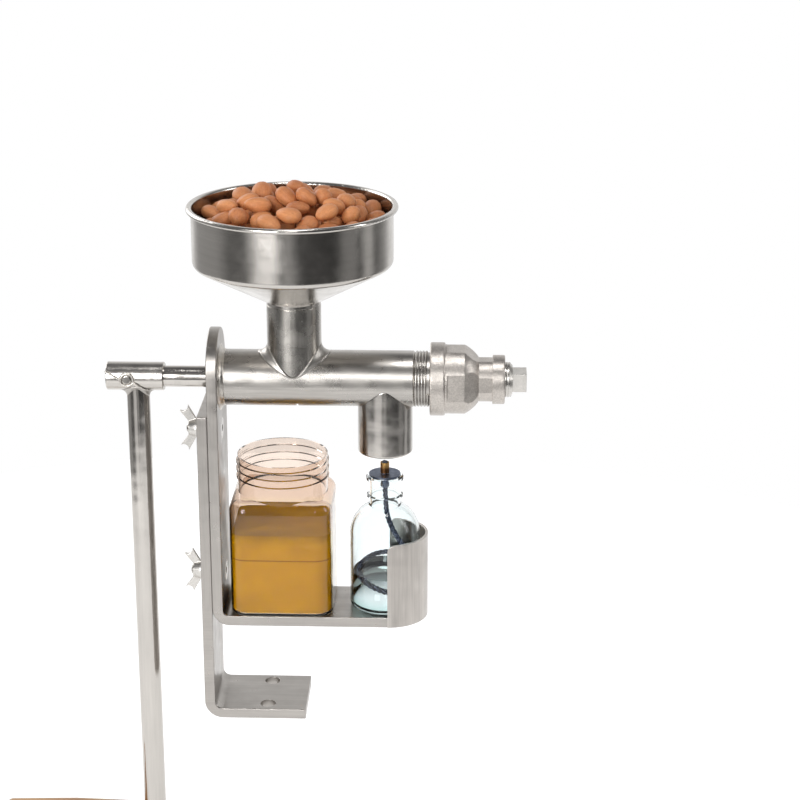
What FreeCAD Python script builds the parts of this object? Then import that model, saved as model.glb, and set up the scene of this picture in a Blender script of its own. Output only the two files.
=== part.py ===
"""Hand-cranked screw oil press that bolts to the edge of a table.

Frame of the model: millimetres, +Z up, +X along the barrel towards the cake outlet, +Y away from
the side the press is served from.  The origin is the middle of the foot's bolt pattern on the
underside of the foot.  The crank hangs below the table top.
"""
import FreeCAD, Part
import math
import os
import re
import Sketcher

# Driving dimensions in millimetres, unless the note says otherwise.
SIZES = (
    # The two bent flat bars
    ("bar_width", 60.0),            # width of both bars
    ("bar_thickness", 8.0),
    ("bar_edge", 0.8),              # rounding of the bars' long edges
    ("stand_drop", 22.5),           # flat-cut top of the rear bar below the press axis
    ("stand_bend", 6.0),            # inner radius of its bend
    ("foot_setback", 40.0),         # from the stand's front face to the foot holes
    ("foot_nose", 30.0),            # from the foot holes to the end of the foot
    ("foot_bolt_spacing", 40.0),
    ("foot_hole", 12.0),            # diameter
    ("axis_height", 268.5),         # press axis above the underside of the foot
    ("crown_rise", 7.8),            # centre of the round head above the press axis
    ("shelf_height", 86.3),         # top face of the shelf
    ("shelf_bend", 5.0),
    ("shelf_reach", 125.4),         # from the plate's front face to the middle of the guard
    # The bolted joint between the bars
    ("upper_bolt_drop", 40.4),      # below the press axis
    ("lower_bolt_rise", 25.6),      # above the shelf
    ("bolt_size", 8.0),
    ("bolt_head", 15.6),            # diameter of the countersunk head
    ("bolt_socket", 5.0),           # across the flats of the hexagon socket
    ("bolt_hole_play", 0.5),        # radial
    ("bolt_tail", 1.4),             # screw showing behind the wing nut
    ("washer_outer", 17.0),
    ("washer_thickness", 1.6),
    ("nut_hub", 12.0),              # diameter of the wing nut's hub
    ("nut_hub_length", 7.4),
    ("wing_rise", 19.4),            # tip of a wing from the nut's axis
    ("wing_sweep", 14.4),           # tip of a wing behind the nut's seat
    ("wing_thickness", 3.0),
    ("wing_tip", 3.6),              # radius of the paddle at the end of a wing
    # Barrel and what is welded to it
    ("barrel_outer", 42.0),
    ("barrel_bore", 36.0),
    ("barrel_length", 174.0),
    ("thread_length", 30.0),        # threaded end of the barrel
    ("thread_depth", 1.2),
    ("slot_offset", 57.6),          # sawn oil slot from the plate's front face
    ("slot_width", 2.0),
    ("slot_depth", 4.6),
    ("weld_leg", 4.0),              # leg of the weld between barrel and plate
    ("feed_offset", 55.4),          # feed tube from the plate's front face
    ("feed_outer", 40.4),
    ("feed_bore", 34.4),
    ("feed_rise", 57.8),            # top of the feed tube above the press axis
    ("feed_blend", 7.0),            # radius of the dressed weld round the feed tube
    ("cup_offset", 122.9),          # heating cup from the plate's front face
    ("cup_outer", 41.0),
    ("cup_bore", 37.0),
    ("cup_drop", 57.2),             # rim of the cup below the press axis
    ("cup_edge", 1.6),              # rounding of the cup's outer rim
    ("cup_weld", 1.6),
    # Guard at the end of the shelf
    ("guard_wall", 2.0),
    ("guard_height", 67.0),
    ("guard_corner", 6.0),
    # Thrust bearing and bushing behind the press screw
    ("shaft_size", 16.0),
    ("bushing_outer", 22.0),
    ("bushing_flange", 4.0),
    ("race_thickness", 3.5),
    ("race_outer", 35.0),
    ("ball_size", 6.0),
    ("ball_circle", 26.0),          # diameter of the circle of ball centres
    ("ball_count", 10.0),           # number of balls
    ("race_gap", 4.3),              # between the faces of the two races
    ("cage_thickness", 2.0),
    ("running_play", 0.15),         # radial, turning pieces
    ("seat_gap", 0.2),              # axial, between pieces that turn on each other
    # Press screw
    ("collar_size", 31.0),
    ("collar_length", 4.0),
    ("flight_outer", 35.0),
    ("flight_pitch", 20.0),
    ("flight_root", 5.2),           # thickness of the flight at the core
    ("flight_crest", 3.2),
    ("feed_core", 18.0),            # diameter of the core under the feed tube
    ("press_core", 29.0),           # diameter of the core at the outlet end
    ("core_straight", 76.0),        # feed end of the core, from the plate's front face
    ("screw_end", 6.0),             # flight stops short of the barrel's end
    ("nose_length", 18.0),
    ("nose_tip", 11.0),             # diameter of the blunt tip
    # Crank
    ("shaft_show", 34.5),           # bare shaft between plate and sleeve
    ("sleeve_outer", 21.3),
    ("sleeve_length", 43.0),
    ("sleeve_recess", 2.0),         # shaft end inside the sleeve
    ("sleeve_slip", 0.05),          # radial
    ("arm_offset", 20.2),           # arm from the inner end of the sleeve
    ("arm_outer", 17.2),
    ("arm_bore", 13.6),
    ("arm_blend", 5.0),             # radius of the weld under the sleeve
    ("pin_offset", 27.0),           # cross pin from the inner end of the sleeve
    ("pin_size", 7.0),
    ("pin_proud", 1.0),
    ("pin_weld", 2.4),              # width of the weld bead round the pin
    ("crank_throw", 372.5),         # grip axis below the shaft axis
    ("arm_end", 11.0),              # arm beyond the grip axis
    ("spindle_size", 8.0),
    ("grip_outer", 24.0),
    ("grip_length", 112.0),
    ("grip_round", 5.0),
    ("grip_play", 0.3),
    ("spindle_head", 15.0),
    ("spindle_head_length", 5.0),
    ("hex_nut_flats", 13.0),
    ("hex_nut_length", 6.5),
    # Outlet end
    ("coupling_overlap", 17.5),     # coupling over the barrel's end
    ("thread_play", 0.3),           # radial
    ("band_outer", 54.8),
    ("band_length", 11.2),
    ("body_outer", 51.7),
    ("body_length", 14.6),
    ("dome_length", 10.4),
    ("dome_radius", 20.0),
    ("waist_outer", 33.0),
    ("waist_length", 10.3),
    ("lip_outer", 36.7),
    ("lip_length", 9.2),
    ("cast_edge", 1.2),             # rounding of the casting's edges
    ("panel_depth", 2.1),           # flat panels sunk into the casting
    ("chamber_length", 12.0),       # taper from the barrel's bore to the plug's
    ("ring_thickness", 1.6),        # sealing ring at the barrel's end
    ("plug_outer", 26.0),
    ("plug_show", 5.6),             # plug thread outside the coupling
    ("plug_length", 21.8),
    ("plug_bevel", 2.0),
    ("plug_square", 14.0),          # across the flats
    ("plug_square_length", 10.5),
    ("plug_spigot", 18.0),
    ("choke_thickness", 2.5),
    ("outlet_bore", 8.0),
    # Hopper
    ("hopper_rim", 155.0),          # diameter over the rolled rim
    ("rim_overhang", 3.5),          # rolled rim standing outside the upright wall
    ("hopper_sheet", 1.0),
    ("rim_roll", 3.6),              # thickness of the rolled rim
    ("hopper_height", 74.6),        # rim above the feed tube
    ("hopper_cone_top", 31.4),      # foot of the upright wall above the feed tube
    ("hopper_cone_foot", 2.4),
    ("hopper_corner", 5.0),
    ("spigot_length", 25.0),
    ("spigot_play", 0.4),           # radial
    # Oil jar on the shelf
    ("jar_width", 78.0),
    ("jar_depth", 74.0),
    ("jar_corner", 13.0),
    ("jar_wall", 1.4),
    ("jar_floor", 2.0),
    ("jar_body_height", 92.0),
    ("jar_shoulder", 9.0),          # radius where the body closes in
    ("jar_neck", 68.6),             # diameter
    ("jar_height", 120.4),
    ("jar_ridge", 1.2),             # ridges of the neck thread
    ("jar_offset", 44.6),           # jar from the plate's front face
    ("jar_back", 5.0),              # jar behind the middle of the shelf
    # Spirit lamp
    ("lamp_setback", 2.9),          # lamp behind the middle of the guard
    ("lamp_size", 54.0),
    ("lamp_wall", 2.2),
    ("lamp_straight", 58.0),
    ("lamp_shoulder", 82.0),
    ("lamp_height", 105.6),
    ("lamp_neck", 25.0),
    ("lamp_lip", 28.4),
    ("lamp_lip_height", 3.2),
    ("lamp_foot", 4.0),             # radius round the lamp's base
    ("holder_flange", 24.0),
    ("holder_flange_height", 1.4),
    ("holder_tube", 6.8),
    ("holder_bore", 5.2),
    ("holder_above", 10.0),
    ("holder_below", 9.0),
    ("wick_size", 4.2),
    ("wick_above", 1.0),
)
NAMES = {name for name, _ in SIZES}

# Places along the press, as expressions of the sizes.
PLATE_BACK = "(0 - foot_setback)"
PLATE_FRONT = f"({PLATE_BACK} + bar_thickness)"
STAND_BACK = f"({PLATE_BACK} - bar_thickness)"
GUARD_MIDDLE = f"({PLATE_FRONT} + shelf_reach)"
BARREL_END = f"({PLATE_FRONT} + barrel_length)"
FEED_X = f"({PLATE_FRONT} + feed_offset)"
CUP_X = f"({PLATE_FRONT} + cup_offset)"
REAR_RACE = f"({PLATE_FRONT} + bushing_flange)"
REAR_RACE_FACE = f"({REAR_RACE} + race_thickness)"
BALL_X = f"({REAR_RACE_FACE} + race_gap / 2)"
FRONT_RACE_FACE = f"({REAR_RACE_FACE} + race_gap)"
COLLAR = f"({FRONT_RACE_FACE} + race_thickness)"
SLEEVE_INNER = f"({PLATE_BACK} - shaft_show)"
SLEEVE_OUTER = f"({SLEEVE_INNER} - sleeve_length)"
ARM_X = f"({SLEEVE_INNER} - arm_offset)"
PIN_X = f"({SLEEVE_INNER} - pin_offset)"
GRIP_HEIGHT = "(axis_height - crank_throw)"
GRIP_INNER = f"({ARM_X} - arm_outer / 2 - grip_play)"
GRIP_OUTER = f"({GRIP_INNER} - grip_length)"
COUPLING = f"({BARREL_END} - coupling_overlap)"
LIP_END = f"({COUPLING} + band_length + body_length + dome_length + waist_length + lip_length)"
RING_FRONT = f"({BARREL_END} + seat_gap + ring_thickness)"
PLUG_END = f"({LIP_END} + plug_show)"
NUT_SEAT = f"({STAND_BACK} - washer_thickness - 2 * seat_gap)"
UPPER_BOLT = "(axis_height - upper_bolt_drop)"
LOWER_BOLT = "(shelf_height + lower_bolt_rise)"
JAR_X = f"({PLATE_FRONT} + jar_offset)"
LAMP_X = f"({GUARD_MIDDLE} - lamp_setback)"

DOC = FreeCAD.newDocument("screw_oil_press")


def write_sheet():
    """Put every driving dimension in the spreadsheet, with its alias."""
    sheet = DOC.addObject("Spreadsheet::Sheet", "sizes")
    for row, (name, number) in enumerate(SIZES, 1):
        sheet.set(f"A{row}", name)
        sheet.set(f"B{row}", str(number))
        sheet.setAlias(f"B{row}", name)
    DOC.recompute()
    return sheet


SHEET = write_sheet()


# Expressions and placement

def bound(expression):
    """Point every size named in an expression at the spreadsheet."""
    return re.sub(r"[a-z]\w*", lambda word: f"sizes.{word[0]}" if word[0] in NAMES else word[0], expression)


def value(expression):
    """What an expression of the sizes comes to."""
    return float(SHEET.evalExpression(expression))


def place(thing, x="0", y="0", z="0"):
    """Bind the place of a sub-part to expressions of the sizes."""
    for axis, expression in (("x", x), ("y", y), ("z", z)):
        thing.setExpression(f"Placement.Base.{axis}", bound(expression))
    return thing


def new_body(label, x="0", y="0", z="0"):
    """An empty body of its own name and place."""
    return place(DOC.addObject("PartDesign::Body", label), x, y, z)


# Sketches: every corner is pinned to expressions of the sizes

def new_sketch(body, role, name, push="0"):
    """A sketch on one of the body's own origin planes, pushed along the plane's normal."""
    sketch = body.newObject("Sketcher::SketchObject", name)
    plane = next(flat for flat in body.Origin.OriginFeatures if flat.Role == role)
    sketch.AttachmentSupport = [(plane, "")]
    sketch.MapMode = "FlatFace"
    sketch.setExpression("AttachmentOffset.Base.z", bound(push))
    return sketch


def pin(sketch, kind, element, point, expression):
    """Hold one coordinate of a point at an expression of the sizes."""
    number = sketch.addConstraint(Sketcher.Constraint(kind, -1, 1, element, point, value(expression)))
    sketch.setExpression(f"Constraints[{number}]", bound(expression))


def arc_side(start, end, radius, side):
    """Arc from start to end, bulging to the left (side 1) or right (side -1) of the way between."""
    chord = end - start
    middle = (start + end) * 0.5
    across = FreeCAD.Vector(-chord.y, chord.x, 0).normalize()
    centre = middle - across * (side * math.sqrt(radius ** 2 - (chord.Length / 2) ** 2))
    first, last = (end, start) if side > 0 else (start, end)
    turns = [math.atan2(point.y - centre.y, point.x - centre.x) for point in (first, last)]
    return Part.ArcOfCircle(Part.Circle(centre, FreeCAD.Vector(0, 0, 1), radius), *turns)


def outline(sketch, corners):
    """Closed outline through corners (u, v); a corner (u, v, radius, side) starts an arc."""
    points = [FreeCAD.Vector(value(corner[0]), value(corner[1]), 0) for corner in corners]
    first = sketch.GeometryCount
    ends = []
    for corner, start, end in zip(corners, points, points[1:] + points[:1]):
        if len(corner) == 2:
            number = sketch.addGeometry(Part.LineSegment(start, end), False)
            ends.append((number, 1, 2))
            continue
        radius, side = corner[2:]
        number = sketch.addGeometry(arc_side(start, end, value(radius), side), False)
        ends.append((number, 2, 1) if side > 0 else (number, 1, 2))
        bend = sketch.addConstraint(Sketcher.Constraint("Radius", number, value(radius)))
        sketch.setExpression(f"Constraints[{bend}]", bound(radius))
    for this, following in zip(ends, ends[1:] + ends[:1]):
        sketch.addConstraint(Sketcher.Constraint("Coincident", this[0], this[2], following[0], following[1]))
    for corner, (number, begin, _) in zip(corners, ends):
        pin(sketch, "DistanceX", number, begin, corner[0])
        pin(sketch, "DistanceY", number, begin, corner[1])
    return first


def circle(sketch, u, v, radius):
    """Full circle round a pinned centre."""
    centre = FreeCAD.Vector(value(u), value(v), 0)
    number = sketch.addGeometry(Part.Circle(centre, FreeCAD.Vector(0, 0, 1), value(radius)), False)
    bend = sketch.addConstraint(Sketcher.Constraint("Radius", number, value(radius)))
    sketch.setExpression(f"Constraints[{bend}]", bound(radius))
    pin(sketch, "DistanceX", number, 3, u)
    pin(sketch, "DistanceY", number, 3, v)


def polygon(flats, count, turn="0"):
    """Corners of a regular polygon, given across its flats and turned by degrees."""
    reach = f"({flats} / 2 / cos({180 / count}))"
    angles = [f"({turn} + {(2 * number + 1) * 180 / count})" for number in range(count)]
    return [(f"{reach} * cos({angle})", f"{reach} * sin({angle})") for angle in angles]


# Features

def pad(body, sketch, length, both_ways=False):
    """Push a sketch out by an expression of the sizes."""
    feature = body.newObject("PartDesign::Pad", f"{sketch.Name}_pad")
    feature.Profile = sketch
    feature.Midplane = both_ways
    feature.setExpression("Length", bound(length))
    sketch.Visibility = False
    DOC.recompute()
    return feature


def drill(body, sketch, two_sided=True, upward=False):
    """Cut a sketch right through its body, both ways or to one side of the sketch."""
    before = body.Shape.Volume
    feature = body.newObject("PartDesign::Pocket", f"{sketch.Name}_cut")
    feature.Profile = sketch
    feature.Type = "ThroughAll"
    feature.Midplane = two_sided
    feature.Reversed = upward
    DOC.recompute()
    if not body.Shape.Volume < before:
        raise ValueError(f"{feature.Label} cuts nothing")
    return feature


def revolve(body, sketch, kind="Revolution", axis="H_Axis"):
    """Turn a sketch once round one of its own axes, as material or as a cut."""
    feature = body.newObject(f"PartDesign::{kind}", f"{sketch.Name}_turn")
    feature.Profile = sketch
    feature.ReferenceAxis = (sketch, [axis])
    feature.Angle = 360
    DOC.recompute()
    return feature


def polar(body, feature, sketch, count):
    """Repeat a feature round the sketch's horizontal axis."""
    pattern = body.newObject("PartDesign::PolarPattern", f"{feature.Name}_round")
    pattern.Originals = [feature]
    pattern.Axis = (sketch, ["H_Axis"])
    pattern.Angle = 360
    pattern.Occurrences = count
    body.Tip = pattern
    DOC.recompute()
    return pattern


def round_edges(body, radius, wanted):
    """Fillet the edges of the body that the test picks."""
    base = body.Tip
    picked = [f"Edge{number}" for number, edge in enumerate(base.Shape.Edges, 1) if wanted(edge)]
    feature = body.newObject("PartDesign::Fillet", f"{base.Name}_round")
    feature.Base = (base, picked)
    feature.setExpression("Radius", bound(radius))
    DOC.recompute()
    return feature


def turned(label, corners, x="0", z="0", axis="H_Axis"):
    """A body turned from one outline in the XZ plane, round X (H_Axis) or Z (V_Axis)."""
    body = new_body(label, x, "0", z)
    sketch = new_sketch(body, "XZ_Plane", f"{label}_profile")
    outline(sketch, corners)
    revolve(body, sketch, axis=axis)
    return body


def ring(label, start, end, inner, outer):
    """A plain ring round the press axis."""
    corners = [(start, inner), (start, outer), (end, outer), (end, inner)]
    return turned(label, corners, z="axis_height")


def bore_across(body, name, role, u, v, radius, push="0"):
    """A round hole right through the body, square to one of its origin planes."""
    sketch = new_sketch(body, role, name, push)
    circle(sketch, u, v, radius)
    return drill(body, sketch)


# The two bent bars

def bent_bar(label, back, under, top, reach):
    """Flat bar bent once: an upright with its back face at back, and a foot or shelf at under."""
    bend = "stand_bend" if label == "stand" else "shelf_bend"
    front = f"({back} + bar_thickness)"
    upper = f"({under} + bar_thickness)"
    body = new_body(label)
    sketch = new_sketch(body, "XZ_Plane", f"{label}_side")
    outline(sketch, [
        (back, top),
        (back, f"{upper} + {bend}", f"{bend} + bar_thickness", -1),
        (f"{front} + {bend}", under),
        (reach, under),
        (reach, upper),
        (f"{front} + {bend}", upper, bend, 1),
        (front, f"{upper} + {bend}"),
        (front, top),
    ])
    pad(body, sketch, "bar_width", both_ways=True)
    return body


def rounded_end(body, role, name, along, radius):
    """Trim the end of a bar to a half circle about the point at along."""
    side = "(bar_width / 2 + 1)"
    tip = f"{along} + {radius}"
    marks = [
        ((along, f"0 - {side}"), None),
        ((f"{tip} + 1", f"0 - {side}"), None),
        ((f"{tip} + 1", side), None),
        ((along, side), None),
        ((along, radius), (radius, 1)),
        ((tip, "0"), (radius, 1)),
        ((along, f"0 - {radius}"), None),
    ]
    upright = role == "YZ_Plane"
    corners = []
    for (out, across), arc in marks:
        corner = (across, out) if upright else (out, across)
        if arc:
            corner += (arc[0], -arc[1] if upright else arc[1])
        corners.append(corner)
    sketch = new_sketch(body, role, name)
    outline(sketch, corners)
    drill(body, sketch)


def make_stand():
    """Rear bar: upright behind the head plate, and the foot that is bolted to the table."""
    body = bent_bar("stand", STAND_BACK, "0", "axis_height - stand_drop", "foot_nose")
    round_edges(body, "bar_edge", lambda edge: True)
    for name, height in (("upper", UPPER_BOLT), ("lower", LOWER_BOLT)):
        bore_across(body, f"stand_{name}_hole", "YZ_Plane", "0", height, "bolt_size / 2 + bolt_hole_play")
    for name, half in (("left", "foot_bolt_spacing / 2"), ("right", "0 - foot_bolt_spacing / 2")):
        sketch = new_sketch(body, "XY_Plane", f"foot_{name}_hole")
        circle(sketch, "0", half, "foot_hole / 2")
        drill(body, sketch)
    return body


def make_head_plate():
    """Front bar: round-headed plate that carries the barrel, bent forward into the shelf."""
    under = "shelf_height - bar_thickness"
    crown = "(axis_height + crown_rise)"
    guard_inner = "(bar_width / 2 - guard_wall)"
    reach = f"{GUARD_MIDDLE} + {guard_inner}"
    body = bent_bar("head_plate", PLATE_BACK, under, f"{crown} + bar_width / 2", reach)
    rounded_end(body, "YZ_Plane", "round_head", crown, "(bar_width / 2)")
    shelf_end = value(reach) - 0.1
    round_edges(body, "bar_edge", lambda edge: edge.CenterOfMass.x < shelf_end)
    rounded_end(body, "XY_Plane", "round_shelf", GUARD_MIDDLE, guard_inner)
    bore_across(body, "bushing_seat", "YZ_Plane", "0", "axis_height", "bushing_outer / 2 + sleeve_slip")
    for name, height in (("upper", UPPER_BOLT), ("lower", LOWER_BOLT)):
        bore_across(body, f"plate_{name}_hole", "YZ_Plane", "0", height, "bolt_size / 2 + bolt_hole_play")
        countersink(body, f"plate_{name}_sink", height)
    return body


def countersink(body, name, height):
    """Seat of a countersunk screw in the plate's front face."""
    sketch = new_sketch(body, "XZ_Plane", name)
    sketch.setExpression("AttachmentOffset.Base.y", bound(height))
    outline(sketch, [
        (PLATE_FRONT, "0"),
        (PLATE_FRONT, "bolt_head / 2 + sleeve_slip"),
        (f"{PLATE_FRONT} - (bolt_head - bolt_size) / 2", "bolt_size / 2 + sleeve_slip"),
        (f"{PLATE_FRONT} - (bolt_head - bolt_size) / 2", "0"),
    ])
    revolve(body, sketch, "Groove")


def make_clamp(side, height):
    """One bolted joint between the bars: countersunk screw, washer and wing nut."""
    head_depth = "(bolt_head - bolt_size) / 2"
    tail = f"({NUT_SEAT} - nut_hub_length - bolt_tail)"
    screw = turned(f"clamp_screw_{side}", [
        (PLATE_FRONT, "0"),
        (PLATE_FRONT, "bolt_head / 2"),
        (f"{PLATE_FRONT} - {head_depth}", "bolt_size / 2"),
        (f"{tail} + 1", "bolt_size / 2"),
        (tail, "bolt_size / 2 - 1"),
        (tail, "0"),
    ], z=height)
    socket = new_sketch(screw, "YZ_Plane", f"socket_{side}", f"{PLATE_FRONT} - {head_depth} + 1")
    outline(socket, polygon("bolt_socket", 6))
    drill(screw, socket, two_sided=False, upward=True)
    turned(f"washer_{side}", [
        (f"{STAND_BACK} - seat_gap", "bolt_size / 2 + thread_play"),
        (f"{STAND_BACK} - seat_gap", "washer_outer / 2"),
        (f"{NUT_SEAT} + seat_gap", "washer_outer / 2"),
        (f"{NUT_SEAT} + seat_gap", "bolt_size / 2 + thread_play"),
    ], z=height)
    make_wing_nut(f"wing_nut_{side}", height)


def make_wing_nut(label, height):
    """Forged wing nut: a turned hub with two splayed wings."""
    bore = "bolt_size / 2 + thread_play"
    body = turned(label, [
        ("0", bore),
        ("0", "nut_hub / 2 + 1.8"),
        ("0 - nut_hub_length / 3", "nut_hub / 2 + 1.2"),
        ("0 - nut_hub_length", "nut_hub / 2 - 0.4"),
        ("0 - nut_hub_length", bore),
    ], x=NUT_SEAT, z=height)
    wing = new_sketch(body, "XZ_Plane", f"{label}_wing")
    outline(wing, [
        ("0 - 0.8", f"{bore} + 1"),
        ("1.85 * wing_tip - wing_sweep", "wing_rise - 0.45 * wing_tip", "1.1 * wing_tip", 1),
        ("0.16 * wing_tip - wing_sweep", "wing_rise - 1.55 * wing_tip"),
        ("0 - nut_hub_length", f"{bore} + 1"),
    ])
    polar(body, pad(body, wing, "wing_thickness", both_ways=True), wing, 2)
    return body


# Barrel and what is welded to it

def make_barrel():
    """Press barrel: bored tube with a feed opening on top, a sawn oil slot below and a threaded end."""
    outer = "barrel_outer / 2"
    thread = f"({outer} - thread_depth)"
    thread_start = f"({BARREL_END} - thread_length)"
    body = turned("barrel", [
        (PLATE_FRONT, "barrel_bore / 2"),
        (PLATE_FRONT, outer),
        (thread_start, outer),
        (f"{thread_start} + thread_depth", thread),
        (f"{BARREL_END} - 1", thread),
        (BARREL_END, f"{thread} - 0.6"),
        (BARREL_END, "barrel_bore / 2"),
    ], z="axis_height")
    opening = new_sketch(body, "XY_Plane", "feed_opening")
    circle(opening, FEED_X, "0", "feed_bore / 2")
    drill(body, opening, two_sided=False, upward=True)
    slot = new_sketch(body, "XY_Plane", "oil_slot", f"slot_depth - {outer}")
    left = f"{PLATE_FRONT} + slot_offset - slot_width / 2"
    outline(slot, [
        (left, f"0 - {outer}"),
        (f"{left} + slot_width", f"0 - {outer}"),
        (f"{left} + slot_width", outer),
        (left, outer),
    ])
    drill(body, slot, two_sided=False)
    return body


def make_barrel_weld():
    """Hollow-faced weld where the barrel meets the head plate."""
    outer = "barrel_outer / 2"
    return turned("barrel_weld", [
        (PLATE_FRONT, outer),
        (PLATE_FRONT, f"{outer} + weld_leg", "1.3 * weld_leg", -1),
        (f"{PLATE_FRONT} + weld_leg", outer),
    ], z="axis_height")


def make_feed_tube():
    """Upright feed tube, cut to the barrel's curve at its foot."""
    body = turned("feed_tube", [
        ("feed_bore / 2", "0"),
        ("feed_outer / 2", "0"),
        ("feed_outer / 2", "feed_rise - 0.4"),
        ("feed_outer / 2 - 0.4", "feed_rise"),
        ("feed_bore / 2", "feed_rise"),
    ], x=FEED_X, z="axis_height", axis="V_Axis")
    bore_across(body, "barrel_curve", "YZ_Plane", "0", "0", "barrel_outer / 2")
    return body


def saddle_weld(label, main, branch, blend, x, down=False):
    """Dressed weld round a branch tube on the upper or lower side of a level tube."""
    core, stem, radius = value(f"{main} / 2"), value(f"{branch} / 2"), value(blend)
    reach = 4 * core
    level = Part.makeCylinder(core, 2 * reach, FreeCAD.Vector(-reach, 0, 0), FreeCAD.Vector(1, 0, 0))
    upright = Part.makeCylinder(stem, reach, FreeCAD.Vector(0, 0, 0), FreeCAD.Vector(0, 0, -1 if down else 1))
    joined = level.fuse(upright)

    def on_both(edge):
        point = edge.valueAt((edge.FirstParameter + edge.LastParameter) / 2)
        return abs(math.hypot(point.y, point.z) - core) < 1e-4 and abs(math.hypot(point.x, point.y) - stem) < 1e-4

    seam = [edge for edge in joined.Edges if on_both(edge)]
    weld = DOC.addObject("Part::Feature", label)
    weld.Shape = joined.makeFillet(radius, seam).cut(level).cut(upright)
    return place(weld, x, "0", "axis_height")


def make_heating_cup():
    """Short tube under the barrel that gathers the flame, open below."""
    outer = "cup_outer / 2"
    body = turned("heating_cup", [
        ("cup_bore / 2", "0 - cup_drop"),
        (f"{outer} - cup_edge", "0 - cup_drop", "cup_edge", -1),
        (outer, "cup_edge - cup_drop"),
        (outer, "0"),
        ("cup_bore / 2", "0"),
    ], x=CUP_X, z="axis_height", axis="V_Axis")
    bore_across(body, "barrel_curve", "YZ_Plane", "0", "0", "barrel_outer / 2")
    return body


def make_bottle_guard():
    """Half-round guard welded round the end of the shelf."""
    outer = "bar_width / 2"
    inner = "(bar_width / 2 - guard_wall)"
    body = new_body("bottle_guard", GUARD_MIDDLE, "0", "shelf_height - bar_thickness")
    sketch = new_sketch(body, "XY_Plane", "guard_plan")
    outline(sketch, [
        ("0", f"0 - {outer}", outer, -1),
        (outer, "0", outer, -1),
        ("0", outer),
        ("0", inner, inner, 1),
        (inner, "0", inner, 1),
        ("0", f"0 - {inner}"),
    ])
    pad(body, sketch, "guard_height")
    top = value("guard_height") - 1e-3

    def free_corner(edge):
        middle = edge.CenterOfMass
        return middle.z > top and abs(middle.x) < 1e-3

    round_edges(body, "guard_corner", free_corner)
    return body


# Bushing, thrust bearing and press screw

def make_bushing():
    """Flanged bush in the head plate; its flange backs the thrust bearing."""
    bore = "shaft_size / 2 + running_play"
    return turned("shaft_bushing", [
        (PLATE_BACK, bore),
        (PLATE_BACK, "bushing_outer / 2"),
        (PLATE_FRONT, "bushing_outer / 2"),
        (PLATE_FRONT, "barrel_bore / 2 - sleeve_slip"),
        (REAR_RACE, "barrel_bore / 2 - sleeve_slip"),
        (REAR_RACE, bore),
    ], z="axis_height")


def make_race(label, start, end, bore):
    """One grooved washer of the thrust bearing."""
    body = ring(label, start, end, bore, "race_outer / 2")
    groove = new_sketch(body, "XZ_Plane", f"{label}_groove")
    circle(groove, BALL_X, "ball_circle / 2", "ball_size / 2 + running_play")
    revolve(body, groove, "Groove")
    return body


def make_cage():
    """Ring that keeps the balls apart."""
    play = "running_play"
    half = "(ball_size / 2 + 0.8)"
    body = ring(
        "ball_cage",
        f"{BALL_X} - cage_thickness / 2",
        f"{BALL_X} + cage_thickness / 2",
        f"ball_circle / 2 - {half}",
        f"ball_circle / 2 + {half}",
    )
    pocket = new_sketch(body, "YZ_Plane", "ball_pocket")
    circle(pocket, "ball_circle / 2", "0", f"ball_size / 2 + {play}")
    cut = drill(body, pocket)
    turning = new_sketch(body, "XZ_Plane", "cage_axis")
    polar(body, cut, turning, int(value("ball_count")))
    return body


def make_balls():
    """The balls of the thrust bearing, one to each pocket of the cage."""
    balls = []
    for number in range(int(value("ball_count"))):
        ball = DOC.addObject("Part::Sphere", f"ball_{number}")
        ball.setExpression("Radius", bound("ball_size / 2"))
        angle = f"({number} * 360 / ball_count)"
        place(ball, BALL_X, f"ball_circle / 2 * cos({angle})", f"axis_height + ball_circle / 2 * sin({angle})")
        balls.append(ball)
    group = DOC.addObject("Part::Compound", "thrust_balls")
    group.Links = balls
    return group


def make_press_screw():
    """Shaft, thrust collar and tapered core in one turning, with a helical flight."""
    tail = f"({SLEEVE_OUTER} + sleeve_recess)"
    collar_end = f"({COLLAR} + collar_length)"
    core_end = f"({BARREL_END} - screw_end)"
    slope = "(collar_size - feed_core) / 2"
    body = turned("press_screw", [
        (tail, "0"),
        (tail, "shaft_size / 2 - 1"),
        (f"{tail} + 1", "shaft_size / 2"),
        (COLLAR, "shaft_size / 2"),
        (COLLAR, "collar_size / 2"),
        (collar_end, "collar_size / 2"),
        (f"{collar_end} + {slope}", "feed_core / 2"),
        (f"{PLATE_FRONT} + core_straight", "feed_core / 2"),
        (core_end, "press_core / 2"),
        (f"{core_end} + 2", "press_core / 2"),
        (f"{core_end} + 2 + nose_length", "nose_tip / 2"),
        (f"{core_end} + 2 + nose_length", "0"),
    ], z="axis_height")
    flight = new_sketch(body, "XZ_Plane", "flight_section")
    begin = f"({collar_end} + 1)"
    lean = "(flight_root - flight_crest) / 2"
    outline(flight, [
        (begin, "feed_core / 2 - 1.5"),
        (f"{begin} + {lean}", "flight_outer / 2"),
        (f"{begin} + {lean} + flight_crest", "flight_outer / 2"),
        (f"{begin} + flight_root", "feed_core / 2 - 1.5"),
    ])
    helix = body.newObject("PartDesign::AdditiveHelix", "flight")
    helix.Profile = flight
    helix.ReferenceAxis = (flight, ["H_Axis"])
    helix.Mode = "pitch-height-angle"
    helix.setExpression("Pitch", bound("flight_pitch"))
    helix.setExpression("Height", bound(f"{core_end} - flight_root - {begin}"))
    DOC.recompute()
    bore_across(body, "shaft_pin_hole", "XZ_Plane", PIN_X, "0", "pin_size / 2 + sleeve_slip")
    return body


# Crank

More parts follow.
